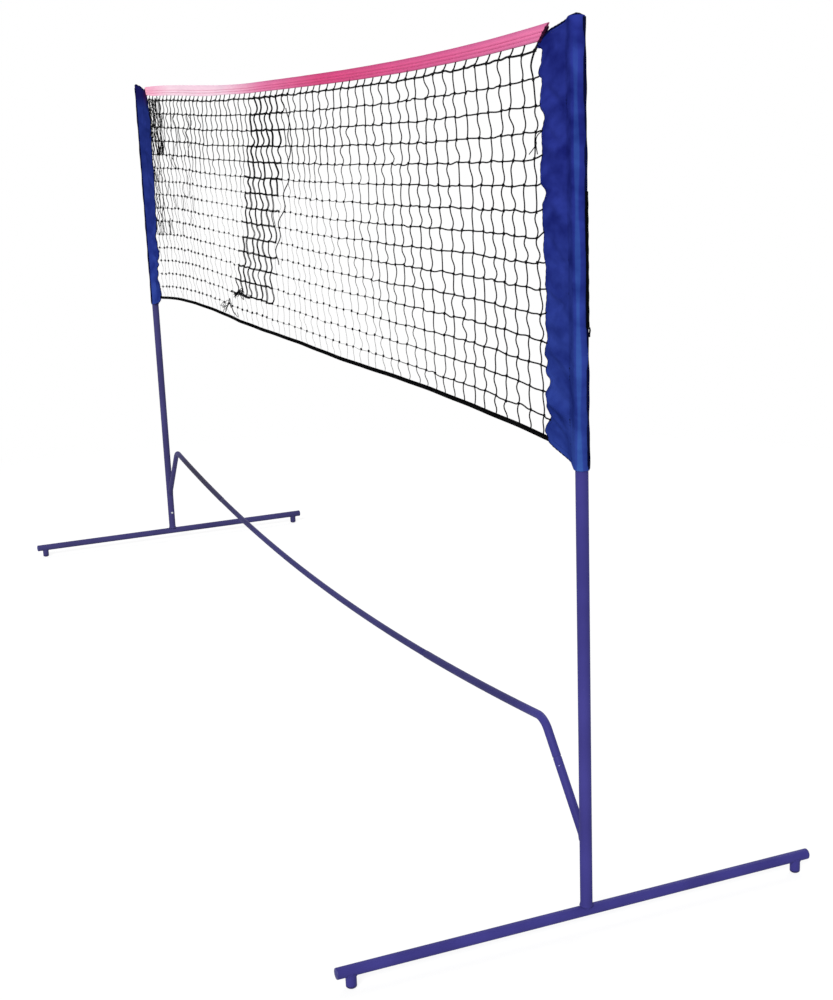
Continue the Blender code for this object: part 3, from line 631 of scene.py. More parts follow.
PAINT = paint_material()
STEEL = steel_material("bare_steel", (206, 208, 212))
DULL_STEEL = steel_material("dull_steel", (92, 90, 140))
SPRING_STEEL = steel_material("spring_steel", (150, 152, 158))
BLACK_PLASTIC = moulded_material("black_plastic", (30, 30, 34), 0.5)
BLUE_PLASTIC = moulded_material("blue_plastic", (52, 50, 118), 0.45)
RUBBER = moulded_material("dark_rubber", (42, 38, 92), 0.78)
TWINE = twine_material()
WHITE_CORD = twine_material("white_cord", (206, 206, 200), (230, 230, 224), 0.006)
BLUE_CLOTH = sleeve_material()
BLUE_BINDING = cloth_material("blue_binding", (9, 11, 42), (16, 20, 60), 0.0006)
BLUE_THREAD = twine_material("blue_thread", (24, 32, 100), (36, 50, 126), 0.001)
PINK_TAPE = tape_material()
PINK_THREAD = twine_material("pink_thread", (196, 70, 120), (226, 110, 158), 0.001)
MAROON_THREAD = twine_material("maroon_thread", (30, 8, 30), (70, 14, 52), 0.001)
BLACK_BAND = cloth_material("black_band", (5, 5, 6), (13, 13, 14), 0.0007)
FLEECE = fleece_material()

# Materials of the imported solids, by how their names start. The rest are painted
NODE_MATERIALS = {
    "post_button_spring": SPRING_STEEL, "bar_button_spring": SPRING_STEEL, "post_button": STEEL,
    "bar_button": STEEL, "bar_centre": STEEL, "foot_plug": BLUE_PLASTIC, "post_cap": BLACK_PLASTIC,
    "rubber_tip": RUBBER, "sleeve": BLUE_CLOTH, "top_tape": PINK_TAPE, "top_cord": WHITE_CORD,
    "netting": TWINE, "hem_band": TWINE, "closure": TWINE, "pull": TWINE,
}
for node_name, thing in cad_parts.items():
    made = next((made for start, made in NODE_MATERIALS.items() if node_name.startswith(start)), PAINT)
    for slot in thing.material_slots:
        slot.material = made


# Frame: tubes, plugs, tips, welds and buttons

def tube_profile(outer, inner, low, top, lip=0.0004):
    return [
        (outer - lip, top), (outer, top - lip), (outer, low + lip), (outer - lip, low),
        (inner, low), (inner, top)]


def dome(radius, low, rise, edge, steps=5):
    """Profile of a domed head, from its middle out and down to its rim."""
    points = []
    for step in range(steps + 1):
        share = step / steps
        reach = (radius - edge) * share
        points.append((reach, low + edge + rise * (1 - share ** 2)))
    for step in range(1, 4):
        angle = math.pi / 2 * step / 3
        points.append((radius - edge + edge * math.sin(angle), low + edge * math.cos(angle)))
    return points


def bead(shape, path, radius, up, ripples):
    """A weld bead along a closed path, rippled as it was laid."""
    turn = np.arange(len(path)) / len(path) * math.tau
    shape.tube(path, radius * (1 + 0.07 * np.sin(ripples * turn)), 10, up, closed=True)


def build_foot(side, name):
    x = side * SPAN / 2
    half = FOOT_LENGTH / 2 - PLUG_HEAD - CLEAR
    bore = FOOT_RADIUS - FOOT_WALL
    tube = Shape()
    tube.turned(
        tube_profile(FOOT_RADIUS, bore, -half, half), (x, 0, FOOT_AXIS_HEIGHT), (0, 1, 0), closed=True)
    tube.piece("foot_rail_" + name, PAINT, "frame", nodes=["foot_tube_" + name])
    for end, sign in (("front", -1), ("rear", 1)):
        label = f"{end}_{name}"
        plug = Shape()
        face = sign * (FOOT_LENGTH / 2 - PLUG_HEAD)
        stem = bore - CLEAR
        profile = dome(FOOT_RADIUS, 0, PLUG_HEAD - PLUG_EDGE, PLUG_EDGE)
        profile += [(FOOT_RADIUS, 0), (stem, 0), (stem, -PLUG_STEM), (0, -PLUG_STEM)]
        plug.turned(profile, (x, face, FOOT_AXIS_HEIGHT), (0, sign, 0))
        plug.piece("end_plug_" + label, BLUE_PLASTIC, "frame", nodes=["foot_plug_" + label])

        y = sign * (FOOT_LENGTH / 2 - STUB_INSET)
        arm = circle(TUBE_SIDES, np.array([1, 0, 0]), np.array([0, 1, 0]))
        saddle = FOOT_AXIS_HEIGHT - np.sqrt(FOOT_RADIUS ** 2 - (STUB_RADIUS * arm[:, 0]) ** 2)
        low = TIP_THICKNESS + CLEAR
        outline = ((STUB_BORE, saddle), (STUB_RADIUS, saddle), (STUB_RADIUS, low + 0.0004),
                   (STUB_RADIUS - 0.0004, low), (STUB_BORE, low))
        rings = [points_at(x + radius * arm[:, 0], y + radius * arm[:, 1], z) for radius, z in outline]
        stub = Shape()
        run = np.arange(len(rings) + 1) * 0.004
        stub.grid(np.array(rings), girth(TUBE_SIDES, STUB_RADIUS), run, around=True, along=True)
        bead(stub, rings[1], 0.0013, (0, 0, 1), 26)
        stub.piece("foot_stub_tube_" + label, PAINT, "frame", nodes=["foot_stub_" + label])

        tip = Shape()
        shares = np.linspace(0, 1, 9) ** 2
        profile = [(0, TIP_TOP), (TIP_STEM, TIP_TOP), (TIP_STEM, TIP_THICKNESS)]
        profile += [(STUB_RADIUS - 0.0005, TIP_THICKNESS), (STUB_RADIUS, TIP_THICKNESS - 0.0005)]
        profile += [(STUB_RADIUS - share * 0.0032, 0.0036 * (1 - share ** 0.5)) for share in shares]
        profile += [(0.0055, 0), (0.0050, 0.0006), (0, 0.0006)]
        tip.turned(profile, (x, y, 0), (0, 0, 1))
        tip.piece("rubber_foot_" + label, RUBBER, "frame", nodes=["rubber_tip_" + label])


def build_post(side, name):
    x = side * SPAN / 2
    crest = FOOT_AXIS_HEIGHT + FOOT_RADIUS
    inner = POST_RADIUS - POST_WALL
    lower = Shape()
    profile = tube_profile(POST_RADIUS, inner, crest + CLEAR, POST_JOINT_HEIGHT)
    # The rim that stands on the foot is belled out
    profile[2:4] = [
        (POST_RADIUS, crest + 0.0065), (POST_RADIUS + 0.0006, crest + 0.0032),
        (POST_RADIUS + 0.0015, crest + CLEAR)]
    lower.turned(profile, (x, 0, 0), (0, 0, 1), closed=True)
    lower.piece("post_low_" + name, PAINT, "frame", nodes=["lower_post_" + name])

    top = HEIGHT - CLOTH - CLEAR - CAP_HEAD - CLEAR
    shoulder = POST_JOINT_HEIGHT + CLEAR
    upper = Shape()
    profile = [
        (POST_RADIUS - 0.0004, top), (POST_RADIUS, top - 0.0004), (POST_RADIUS, shoulder + 0.0012),
        (POST_RADIUS - 0.0005, shoulder), (SWAGE_RADIUS, shoulder),
        (SWAGE_RADIUS, POST_JOINT_HEIGHT - SWAGE_LENGTH),
        (SWAGE_RADIUS - POST_WALL, POST_JOINT_HEIGHT - SWAGE_LENGTH), (SWAGE_RADIUS - POST_WALL, shoulder),
        (inner, shoulder + 0.002), (inner, top)]
    upper.turned(profile, (x, 0, 0), (0, 0, 1), closed=True)
    upper.piece("post_high_" + name, PAINT, "frame", nodes=["upper_post_" + name])

    cap = Shape()
    stem = inner - CLEAR
    profile = dome(POST_RADIUS, 0, CAP_HEAD - CAP_EDGE, CAP_EDGE)
    profile += [(POST_RADIUS, 0), (stem, 0), (stem, -CAP_STEM), (0, -CAP_STEM)]
    cap.turned(profile, (x, 0, top + CLEAR), (0, 0, 1))
    cap.piece("post_plug_" + name, BLACK_PLASTIC, "frame", nodes=["post_cap_" + name])


def socket_line(side):
    """Where the socket's axis starts, its direction, and the direction square to it, up and outboard."""
    angle = socket_angle()
    base = np.array([side * SPAN / 2, 0, SOCKET_HEIGHT])
    axis = np.array([-side * math.sin(angle), 0, math.cos(angle)])
    across = np.array([side * math.cos(angle), 0, math.sin(angle)])
    return base, axis, across


def build_socket(side, name):
    base, axis, across = socket_line(side)
    angle = socket_angle()
    turn = np.arange(TUBE_SIDES) * math.tau / TUBE_SIDES
    arm = circle(TUBE_SIDES, across, np.array([0, 1, 0]))

    def saddle(radius):
        """Where a tube of this radius meets the post."""
        reach = np.sqrt(POST_RADIUS ** 2 - (radius * np.sin(turn)) ** 2)
        along = (radius * np.cos(turn) * math.cos(angle) + reach) / math.sin(angle)
        return base + along[:, None] * axis + radius * arm

    inner = SOCKET_RADIUS - SOCKET_WALL
    weld = saddle(SOCKET_RADIUS)
    mouth = ((SOCKET_LENGTH - 0.0005, SOCKET_RADIUS), (SOCKET_LENGTH, SOCKET_RADIUS - 0.0005),
             (SOCKET_LENGTH, inner))
    rings = [saddle(inner), weld] + [base + along * axis + radius * arm for along, radius in mouth]
    shape = Shape()
    run = np.arange(len(rings) + 1) * 0.03
    shape.grid(np.array(rings), girth(TUBE_SIDES, SOCKET_RADIUS), run, around=True, along=True)
    fill = 0.0016 + 0.0034 * ((1 + np.cos(turn)) / 2) ** 3
    bead(shape, weld, fill, tuple(axis), 22)
    shape.piece("slant_socket_" + name, PAINT, "frame", nodes=["bar_socket_" + name])


def knee_line():
    corner = np.array([SPAN / 2 - KNEE_REACH, 0, KNEE_HEIGHT])
    slope = 2 * (KNEE_HEIGHT - BAR_MID_HEIGHT) / corner[0]
    to_bar = unit(np.array([-1, 0, -slope]))
    angle = socket_angle()
    to_post = np.array([math.sin(angle), 0, -math.cos(angle)])
    opening = math.acos(float(to_bar @ to_post))
    tangent = KNEE_BEND / math.tan(opening / 2)
    bend_start = corner + to_bar * tangent
    centre = corner + unit(to_bar + to_post) * KNEE_BEND / math.sin(opening / 2)
    x = np.linspace(BAR_JOINT, bend_start[0], 12)
    points = [np.array([at, 0, bar_line(at)]) for at in x]
    first = bend_start - centre
    last = corner + to_post * tangent - centre
    swing = math.pi - opening
    steps = 18
    for step in range(1, steps + 1):
        share = step / steps
        arm = first * math.sin((1 - share) * swing) + last * math.sin(share * swing)
        points.append(centre + arm / math.sin(swing))
    mouth = KNEE_REACH / math.sin(angle) - SOCKET_LENGTH
    for along in (mouth - CLEAR - SWAGE_SLOPE, mouth - CLEAR, mouth + KNEE_INSERT):
        points.append(corner + to_post * along)
    return np.array(points)


def build_bar(side, name):
    mirror = np.array([side, 1, 1])
    path = knee_line()
    radii = [BAR_RADIUS] * (len(path) - 2) + [KNEE_SWAGE] * 2
    knee = Shape()
    knee.pipe(path * mirror, radii, BAR_WALL)
    knee.piece("bent_tube_" + name, PAINT, "frame", nodes=["knee_tube_" + name])

    shoulder = BAR_JOINT - CLEAR
    plain = np.linspace(CLEAR / 2, shoulder - SWAGE_SLOPE, 30)
    drawn = np.array([shoulder, shoulder + 0.03, BAR_JOINT + BAR_SWAGE])
    x = np.concatenate([plain, drawn])
    path = np.stack([x, np.zeros_like(x), bar_line(x)], 1)
    radii = [BAR_MID_RADIUS] * len(plain) + [BAR_SWAGE_RADIUS] * len(drawn)
    bar = Shape()
    bar.pipe(path * mirror, radii, BAR_WALL)
    bar.piece("cross_bar_" + name, PAINT, "frame", nodes=["bar_tube_" + name])


def reach_along(node, base, way):
    """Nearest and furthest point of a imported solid, from base along a direction."""
    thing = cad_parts[node]
    points = np.array([thing.matrix_world @ vertex.co for vertex in thing.data.vertices])
    along = (points - base) @ np.asarray(way, float)
    return float(along.min()), float(along.max())


def build_leaf(label, node, base, out, along):
    """The bent leaf spring behind a button, built as one still piece on no body. On the real spring its front
    leg goes with the button, the other stays.
    """
    base, out, along = (np.asarray(values, float) for values in (base, out, along))
    across = np.cross(out, along)
    back, front = reach_along(node, base, out)
    near, far = reach_along(node, base, along)
    wide = reach_along(node, base, across)[1]
    half = LEAF_THICKNESS / 2
    middle = (front + back) / 2
    bend = (front - back) / 2 - half
    turn = np.linspace(math.pi / 2, -math.pi / 2, 14)
    depth = np.concatenate([[front - half], middle + bend * np.sin(turn), [back + half]])
    run = np.concatenate([[near], far - half - bend + bend * np.cos(turn), [near]])
    path = base + depth[:, None] * out + run[:, None] * along
    square = np.concatenate([[out], np.sin(turn)[:, None] * out + np.cos(turn)[:, None] * along, [-out]])
    corners = ((1, -0.6), (1, 0.6), (0.97, 1), (-0.97, 1), (-1, 0.6), (-1, -0.6), (-0.97, -1), (0.97, -1))
    section = np.array(corners) * (wide, half)
    rings = path[:, None] + section[None, :, :1] * across + section[None, :, 1:] * square[:, None]
    shape = Shape()
    shape.grid(rings, np.arange(9) * 0.002, lengths_along(path), around=True, ends=True)
    leaf = shape.piece(label, SPRING_STEEL, None, nodes=[node])
    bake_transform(leaf)


def build_buttons(side, name):
    """Spring buttons, each a domed pin on its own body, with a leaf spring behind it."""
    def pin(label, body, base, out, radius, tip, material):
        shape = Shape()
        flange = radius + FLANGE_LIP
        root = reach_along(body, base, out)[0]
        face = root + 0.001
        profile = [(reach, tip - CROWN * (reach / radius) ** 3) for reach in np.linspace(0, radius * 0.8, 5)]
        profile += [(radius * 0.93, tip - CROWN), (radius, tip - 0.0019), (radius, face)]
        profile += [(flange, face), (flange, root), (0, root)]
        shape.turned(profile, base, out, 32)
        shape.piece(label, material, body, nodes=[body])

    body = "post_button_" + name
    base = (side * SPAN / 2, 0, POST_BUTTON_HEIGHT)
    out = (-side, 0, 0)
    pin("post_pin_" + name, body, base, out,
        POST_BUTTON_RADIUS, POST_RADIUS + POST_BUTTON_STANDS_OUT, STEEL)
    build_leaf("post_leaf_" + name, "post_button_spring_" + name, base, out, (0, 0, -1))
    body = "bar_button_" + name
    base, axis, across = socket_line(side)
    out = across * math.cos(BAR_BUTTON_BEARING) + np.array([0, -1, 0]) * math.sin(BAR_BUTTON_BEARING)
    base = base + axis * (SOCKET_LENGTH - BAR_BUTTON_FROM_MOUTH)
    pin("bar_pin_" + name, body, base, out,
        BAR_BUTTON_RADIUS, SOCKET_RADIUS + BAR_BUTTON_STANDS_OUT, DULL_STEEL)
    build_leaf("bar_leaf_" + name, "bar_button_spring_" + name, base, out, axis)


# Top tape and hem

def band_section(depths, half, wall, slot_top):
    """Closed outline of a folded band as (y, depth): outside up, over the fold and down, then inside."""
    outside = [(half(depth), depth) for depth in depths]
    inside = [(half(depths[-1]) - wall, depth) for depth in (depths[-1], 0.5 * depths[-1], slot_top + 0.0012)]
    inside += [(inside[0][0] * 0.7, slot_top + 0.0003), (0, slot_top)]
    front = [(-y, d) for y, d in reversed(outside)]
    rear = [(y, d) for y, d in outside[1:]]
    back = inside + [(-y, d) for y, d in reversed(inside[:-1])]
    return np.array(front + rear + back)


def tape_half(depth):
    """Half thickness of the tape: rounded fold, two sewn lines, a ridge between and a turned edge."""
    full = TAPE_SLOT / 2 + TAPE_WALL
    fold = min(1.0, math.sqrt(max(0.0, 1 - (1 - min(depth / full, 1)) ** 2)))
    share = depth / TAPE_DEPTH
    sewn = 0.0004 * sum(hill(share, line, 0.03) for line in TAPE_SEWN)
    ridge = 0.00025 * hill(share, 0.60, 0.05) + 0.0002 * hill(share, 0.92, 0.07)
    return float(full * fold - sewn + ridge - 0.0002)


def tape_hang(x, share):
    """How far the tape waves out of its plane, most at its lower edge."""
    return 0.0010 * np.sin(23 * x + 2) * share ** 2


def build_tape():
    depths = [0, 0.0002, 0.0006, 0.0012, 0.0020, 0.0035, 0.006, 0.009, 0.0108, 0.0116, 0.01225, 0.0129,
              0.0137, 0.0150, 0.0163, 0.0171, 0.01785, 0.0186, 0.0194, 0.0212, 0.0228, 0.0242, 0.0250]
    section = band_section(depths, tape_half, TAPE_WALL, TAPE_WALL)
    down = section[None, :, 1]
    u = np.linspace(-1, 1, 261)[:, None]
    slant = np.where(u < 0, TAPE_END_SLANT[-1], TAPE_END_SLANT[1])
    x = u * (tape_reach() - slant * down / TAPE_DEPTH)
    z = tape_top(x) - down * tape_depth(x) / TAPE_DEPTH
    y = section[None, :, 0] + tape_sway(x) + tape_hang(x, down / TAPE_DEPTH) * (1 - np.abs(u) ** 8)
    shape = Shape()
    share = np.append(section[:, 1], section[0, 1]) / TAPE_DEPTH
    shape.grid(points_at(x, y, z), share, u[:, 0] * tape_reach(), around=True, ends=True)
    # u ran down the tape, so texture places are turned to metres along it and share of depth
    shape.places[0] = shape.places[0].reshape(-1, 4, 2)[:, :, ::-1].reshape(-1, 8)
    tape = shape.piece("tape_cloth", PINK_TAPE, "net", 50, nodes=["top_tape"])

    seams = Shape()
    for face in (-1, 1):
        for share in TAPE_SEWN:
            depth = share * TAPE_DEPTH
            ends = [side * (tape_reach() - 0.004 - TAPE_END_SLANT[side] * share) for side in (-1, 1)]
            x = np.linspace(*ends, 500)
            y = face * (tape_half(depth) + 0.0001) + tape_sway(x) + tape_hang(x, share)
            path = points_at(x, y, tape_top(x) - share * tape_depth(x))
            seams.stitches(path, (0, face, 0), *TAPE_STITCH)
    stitching = seams.piece("tape_stitches", PINK_THREAD, "net")

    # Whipped stitches from the slanting ends of the tape to the sleeves
    tacks = Shape()
    rng = np.random.default_rng(4)
    for side in (-1, 1):
        slant = math.atan2(TAPE_END_SLANT[side], TAPE_DEPTH)
        for face in (-1, 1):
            for k in range(TACKS):
                share = 0.20 + 0.80 * (k + 0.5) / TACKS
                depth = tape_depth(side * 1.39) * share
                end = tape_reach() - TAPE_END_SLANT[side] * share
                run = np.array([-0.0008, 0.0006, 0.0024, 0.0046]) + rng.normal(0, 0.0004, 4)
                z = tape_top(side * end) - depth - run * math.sin(slant)
                y = face * np.array([1, 1, 0.9, 0.55]) * (tape_half(min(depth, TAPE_DEPTH)) + 0.0003)
                path = points_at(side * (end + run * math.cos(slant)), y, z)
                tacks.tube(path, [0.0007, 0.0010, 0.0010, 0.0007], 6)
    tack = tacks.piece("tape_tacks", MAROON_THREAD, "net")

    rope = Shape()
    x = np.linspace(-1.39, 1.385, 240)
    rope.tube(points_at(x, tape_sway(x), tape_top(x) - TAPE_WALL - CLEAR - CORD_RADIUS), CORD_RADIUS, 10)
    rope.piece("tape_rope", WHITE_CORD, "net", nodes=["top_cord"])


def build_hem():
    full = HEM_SLOT / 2 + HEM_WALL
    sewn = 0.0046

    def half(depth):
        fold = math.sqrt(max(0.0, 1 - (1 - min(depth / full, 1)) ** 2))
        return full * fold - 0.0003 * float(hill(depth, sewn, 0.0006))

    depths = [0, 0.0002, 0.0006, 0.0012, 0.0021, 0.0032, 0.0040, sewn, 0.0052, 0.0062, 0.0078, HEM_DEPTH]
    section = band_section(depths, half, HEM_WALL, HEM_WALL)
    ends = [side * (SPAN / 2 - float(edge_reach(side, 0.868)) + 0.004) for side in (-1, 1)]
    x = np.linspace(*ends, 221)[:, None]
    points = points_at(x, section[None, :, 0] + hem_sway(x), hem_top(x) - HEM_DEPTH + section[None, :, 1])
    shape = Shape()
    shape.grid(points, np.append(lengths_along(section), 0.04), x[:, 0], around=True, ends=True)
    hem = shape.piece("hem_cloth", BLACK_BAND, "net", 50, nodes=["hem_band"])
    seams = Shape()
    at = x[:, 0]
    for face in (-1, 1):
        y = face * (half(sewn) + 0.0001) + hem_sway(at)
        seams.stitches(points_at(at, y, hem_top(at) - HEM_DEPTH + sewn), (0, face, 0), *HEM_STITCH)
    stitching = seams.piece("hem_stitches", TWINE, "net")


# Sleeves

def edge_reach(side, z):
    """From the post's axis to the sleeve's inner edge."""
    return eased(z, SLEEVE_EDGE[side])


def sleeve_top(side, d):
    if side > 0:
        at = [-0.0125, -0.004, 0.004, 0.012, 0.030, 0.0578, 0.0872, 0.1260, 0.135]
        z = [1.5490, 1.5512, 1.5518, 1.5508, 1.5455, 1.5394, 1.5340, 1.5180, 1.516]
    else:
        at = [-0.0125, -0.009, 0.0873, 0.116, 0.135]
        z = [1.5570, 1.5578, 1.5340, 1.5150, 1.510]
    return np.interp(d, at, z)


def sleeve_low(d):
    at = [-0.0125, 0.0115, 0.0897, 0.11, 0.135]
    z = [0.8325, 0.8325, 0.8530, 0.8590, 0.8625]
    return np.interp(d, at, z)


def sleeve_folds(side, d, z):
    """How far the panel stands out of the net's plane: slanting folds, quiet near its seams."""
    rng = np.random.default_rng(5 if side > 0 else 6)
    out = np.zeros(np.broadcast(d, z).shape)
    heights = [0.868, 0.886, 0.905, 0.935, 0.965, 1.00, 1.05, 1.11, 1.18, 1.26, 1.34, 1.42]
    for height in heights:
        low = smooth((0.98 - height) / 0.08)
        for slant in (rng.uniform(-0.55, -0.3), rng.uniform(-0.2, 0.7) * (1 - low) - 0.6 * low):
            width = rng.uniform(0.006, 0.014)
            size = rng.uniform(0.0028, 0.0050) * rng.choice([-1, 1])
            line = height + rng.uniform(-0.02, 0.02) - slant * (d - 0.06)
            fade = hill(d, rng.uniform(0.05, 0.11), 0.04)
            out = out + size * hill(z, line, width) * fade
    out = out + 0.0014 * np.sin(17 * z + 21 * d) + 0.0008 * np.sin(61 * z - 30 * d)
    quiet = smooth((d - 0.030) / 0.030) * (1 - 0.55 * smooth((d - 0.095) / 0.02))
    return out * quiet * smooth((1.495 - z) / 0.04)


def sleeve_grid(side, inset, panel, rows):
    """Rows of points round the sleeve. inset moves the pocket's wall inward, panel is the half thickness."""
    taper = POCKET_TAPER
    radius = POCKET_RADIUS - inset
    start = math.acos(POCKET_RADIUS / taper)
    flat = np.linspace(0, 1, 20) ** 0.85
    lean = np.linspace(0, 1, 6)[1:-1]
    turn = np.linspace(start, math.pi, 16)
    level = np.concatenate([
        np.linspace(0, 0.02, 5)[:-1], np.linspace(0.02, 0.98, rows), np.linspace(0.98, 1, 6)[1:]])
    low = float(sleeve_low(0.118))
    edge = edge_reach(side, low + (float(sleeve_top(side, 0.118)) - low) * level)
    loops = []
    for v, reach in zip(level, edge):
        d = reach + (taper - reach) * flat
        gap = panel + (0.0008 - panel) * flat ** 6
        touch = (radius * math.cos(start), radius * math.sin(start))
        lean_d = taper + (touch[0] - taper) * lean
        lean_y = 0.0008 + (touch[1] - 0.0008) * lean - inset * (1 - lean) * 0.6
        half_d = np.concatenate([d, lean_d, radius * np.cos(turn)])
        half_y = np.concatenate([gap, lean_y, radius * np.sin(turn)])
        half_y = np.maximum(half_y, 0)
        low = sleeve_low(half_d)
        z = low + (sleeve_top(side, half_d) - low) * v
        folds = sleeve_folds(side, half_d, z)
        slack = 0.0012 * (0.5 + 0.5 * np.sin(37 * z + 2 * side)) * (1 - smooth(half_d / 0.03))
        slack = slack * smooth((1.53 - z) / 0.05) * (half_d < 0.008)
        d = half_d - slack * 0.7
        front = points_at(d, -half_y + folds, z)
        rear = points_at(d, half_y + folds, z)[::-1][1:]
        bend = np.array([[reach + min(panel, 0.0006), folds[0], z[0]]])
        loops.append(np.concatenate([front, rear, bend]))
    return np.array(loops)


def closed_over(side, loops, drop):
    """The same rows, the cloth brought together over the top. On the far sleeve it slopes to the rear."""
    fold = loops[-1, :, 1].copy()
    if side > 0:
        round_off = 0.0038 * (np.abs(fold) / POCKET_RADIUS) ** 2.5
        lean = 0.0
        rises = (0.35, 0.72, 0.93, 1.0)
    else:
        round_off = 0.0005 + 0.0105 * np.clip(fold / POCKET_RADIUS, 0, 1)
        lean = CREST_LEAN
        rises = (0.12, 0.38, 0.69, 1.0)
    loops[-8:, :, 2] -= round_off * np.linspace(0, 1, 8)[:, None]
    top = loops[-1]
    extra = []
    for share, rise in zip((0.85, 0.6, 0.3, 0.0), rises):
        ring = top.copy()
        ring[:, 1] = fold * share + lean * np.abs(fold) * (1 - share)
        ring[:, 2] = top[:, 2] + round_off * rise - drop * rise * smooth(1 - np.abs(top[:, 0]) / 0.03)
        extra.append(ring)
    return np.concatenate([loops, np.array(extra)])


def build_sleeve(side, name):
    outer = sleeve_grid(side, 0.0, 0.0007, SLEEVE_ROWS)
    # Raised bands: the turned inner edge, the hem at the bottom and the binding along the top
    d = outer[:, :, 0]
    z = outer[:, :, 2]
    reach = edge_reach(side, z)
    band = np.maximum.reduce([
        smooth((d - reach + 0.0085) / 0.0012),
        smooth((sleeve_low(d) + 0.011 - z) / 0.0012),
        smooth((z - sleeve_top(side, d) + 0.007) / 0.0012)])
    push = 0.00035 * band * np.sign(outer[:, :, 1] - sleeve_folds(side, d, z))
    outer[:, :, 1] += push * (np.abs(outer[:, :, 1]) > 0.0002)
    inner = sleeve_grid(side, SLEEVE_WALL, 0.0001, SLEEVE_ROWS)
    outer = closed_over(side, outer, 0.0)
    inner = closed_over(side, inner, SLEEVE_WALL)
    loops = np.concatenate([inner[::-1], outer])
    points = loops.copy()
    points[:, :, 0] = side * (SPAN / 2 - loops[:, :, 0])
    run = np.append(lengths_along(outer[len(outer) // 2]), 0.30)
    shape = Shape()
    shape.grid(points, run, loops[:, 40, 2], around=True)
    cloth = shape.piece("sleeve_cloth_" + name, BLUE_CLOTH, "net", 55, nodes=["sleeve_" + name])

    seams = Shape()
    heights = np.linspace(0.862, 1.500, 260)

    def face_path(reach_at, z_at, face):
        y = face * 0.0011 + sleeve_folds(side, reach_at, z_at)
        return points_at(side * (SPAN / 2 - reach_at), y, z_at)

    slope_d = np.linspace(0.016, 0.086, 40)
    low_d = np.linspace(0.020, 0.100 if side > 0 else 0.086, 40)
    for face in (-1, 1):
        rows = (
            (edge_reach(side, heights) - 0.0075, heights),
            (slope_d, sleeve_top(side, slope_d) - 0.0058),
            (low_d, sleeve_low(low_d) + 0.0095))
        for at, z in rows:
            path = face_path(at, z, face)
            path[:, 1] += face * np.maximum(0, (POCKET_TAPER - at) / (POCKET_TAPER - 0.006)) * 0.0115
            seams.stitches(path, (0, face, 0), *SLEEVE_STITCH)
    stitching = seams.piece("sleeve_stitches_" + name, BLUE_THREAD, "net")

    # A dark binding sewn over the edges: the top, the inner edge and the slope at the bottom, and down
    # the pocket's flap on the outer side
    trim = Shape()
    bearing = (FLAP_BEARING[side] + np.linspace(-1, 1, 9) * math.radians(46))[::-side]
    heights = np.linspace(0.8345, 1.5465, 120)
    height_of = np.concatenate([np.full(9, 1.0), np.zeros(9)])
    rim = POCKET_RADIUS + 0.0013 * np.sqrt(np.sin(np.linspace(0.06, math.pi - 0.06, 9)))
    radius = np.concatenate([rim, np.full(9, POCKET_RADIUS - 0.0003)])
    turn = np.concatenate([bearing, bearing[::-1]])
    wobble = 0.0005 * np.sin(53 * heights) + 0.0003 * np.sin(127 * heights + 1)
    radius = radius + wobble[:, None] * height_of
    band = points_at(side * (SPAN / 2 + radius * np.cos(turn)), radius * np.sin(turn), heights[:, None])
    trim.grid(band, np.arange(19) * 0.001, heights, around=True, ends=True)
    low = float(sleeve_low(edge_reach(side, 0.8585)))
    high = 1.516 if side > 0 else 1.519
    top_d = np.linspace(-0.0115, float(edge_reach(side, high)), 90)
    edge_z = np.linspace(high, low + 0.001, 420)[1:]
    low_d = np.linspace(float(edge_reach(side, low)), 0.016, 60)[1:]
    d = np.concatenate([top_d, edge_reach(side, edge_z), low_d])
    z = np.concatenate([sleeve_top(side, top_d) - 0.0006, edge_z, sleeve_low(low_d) + 0.0006])
    crest = CREST_LEAN * np.sqrt(np.maximum(0, POCKET_RADIUS ** 2 - np.minimum(d, POCKET_RADIUS) ** 2))
    crest = crest * (z > 1.2) * (side < 0)
    path = points_at(side * (SPAN / 2 - d), sleeve_folds(side, d, z) + crest, z)
    width = 0.0014 + 0.0002 * np.sin(np.arange(len(d)) * 0.9)
    width = width + 0.0007 * (z > 1.2) * smooth((z - 1.517) / 0.004)
    trim.tube(path, width, 8)
    binding = trim.piece("sleeve_binding_" + name, BLUE_BINDING, "net")


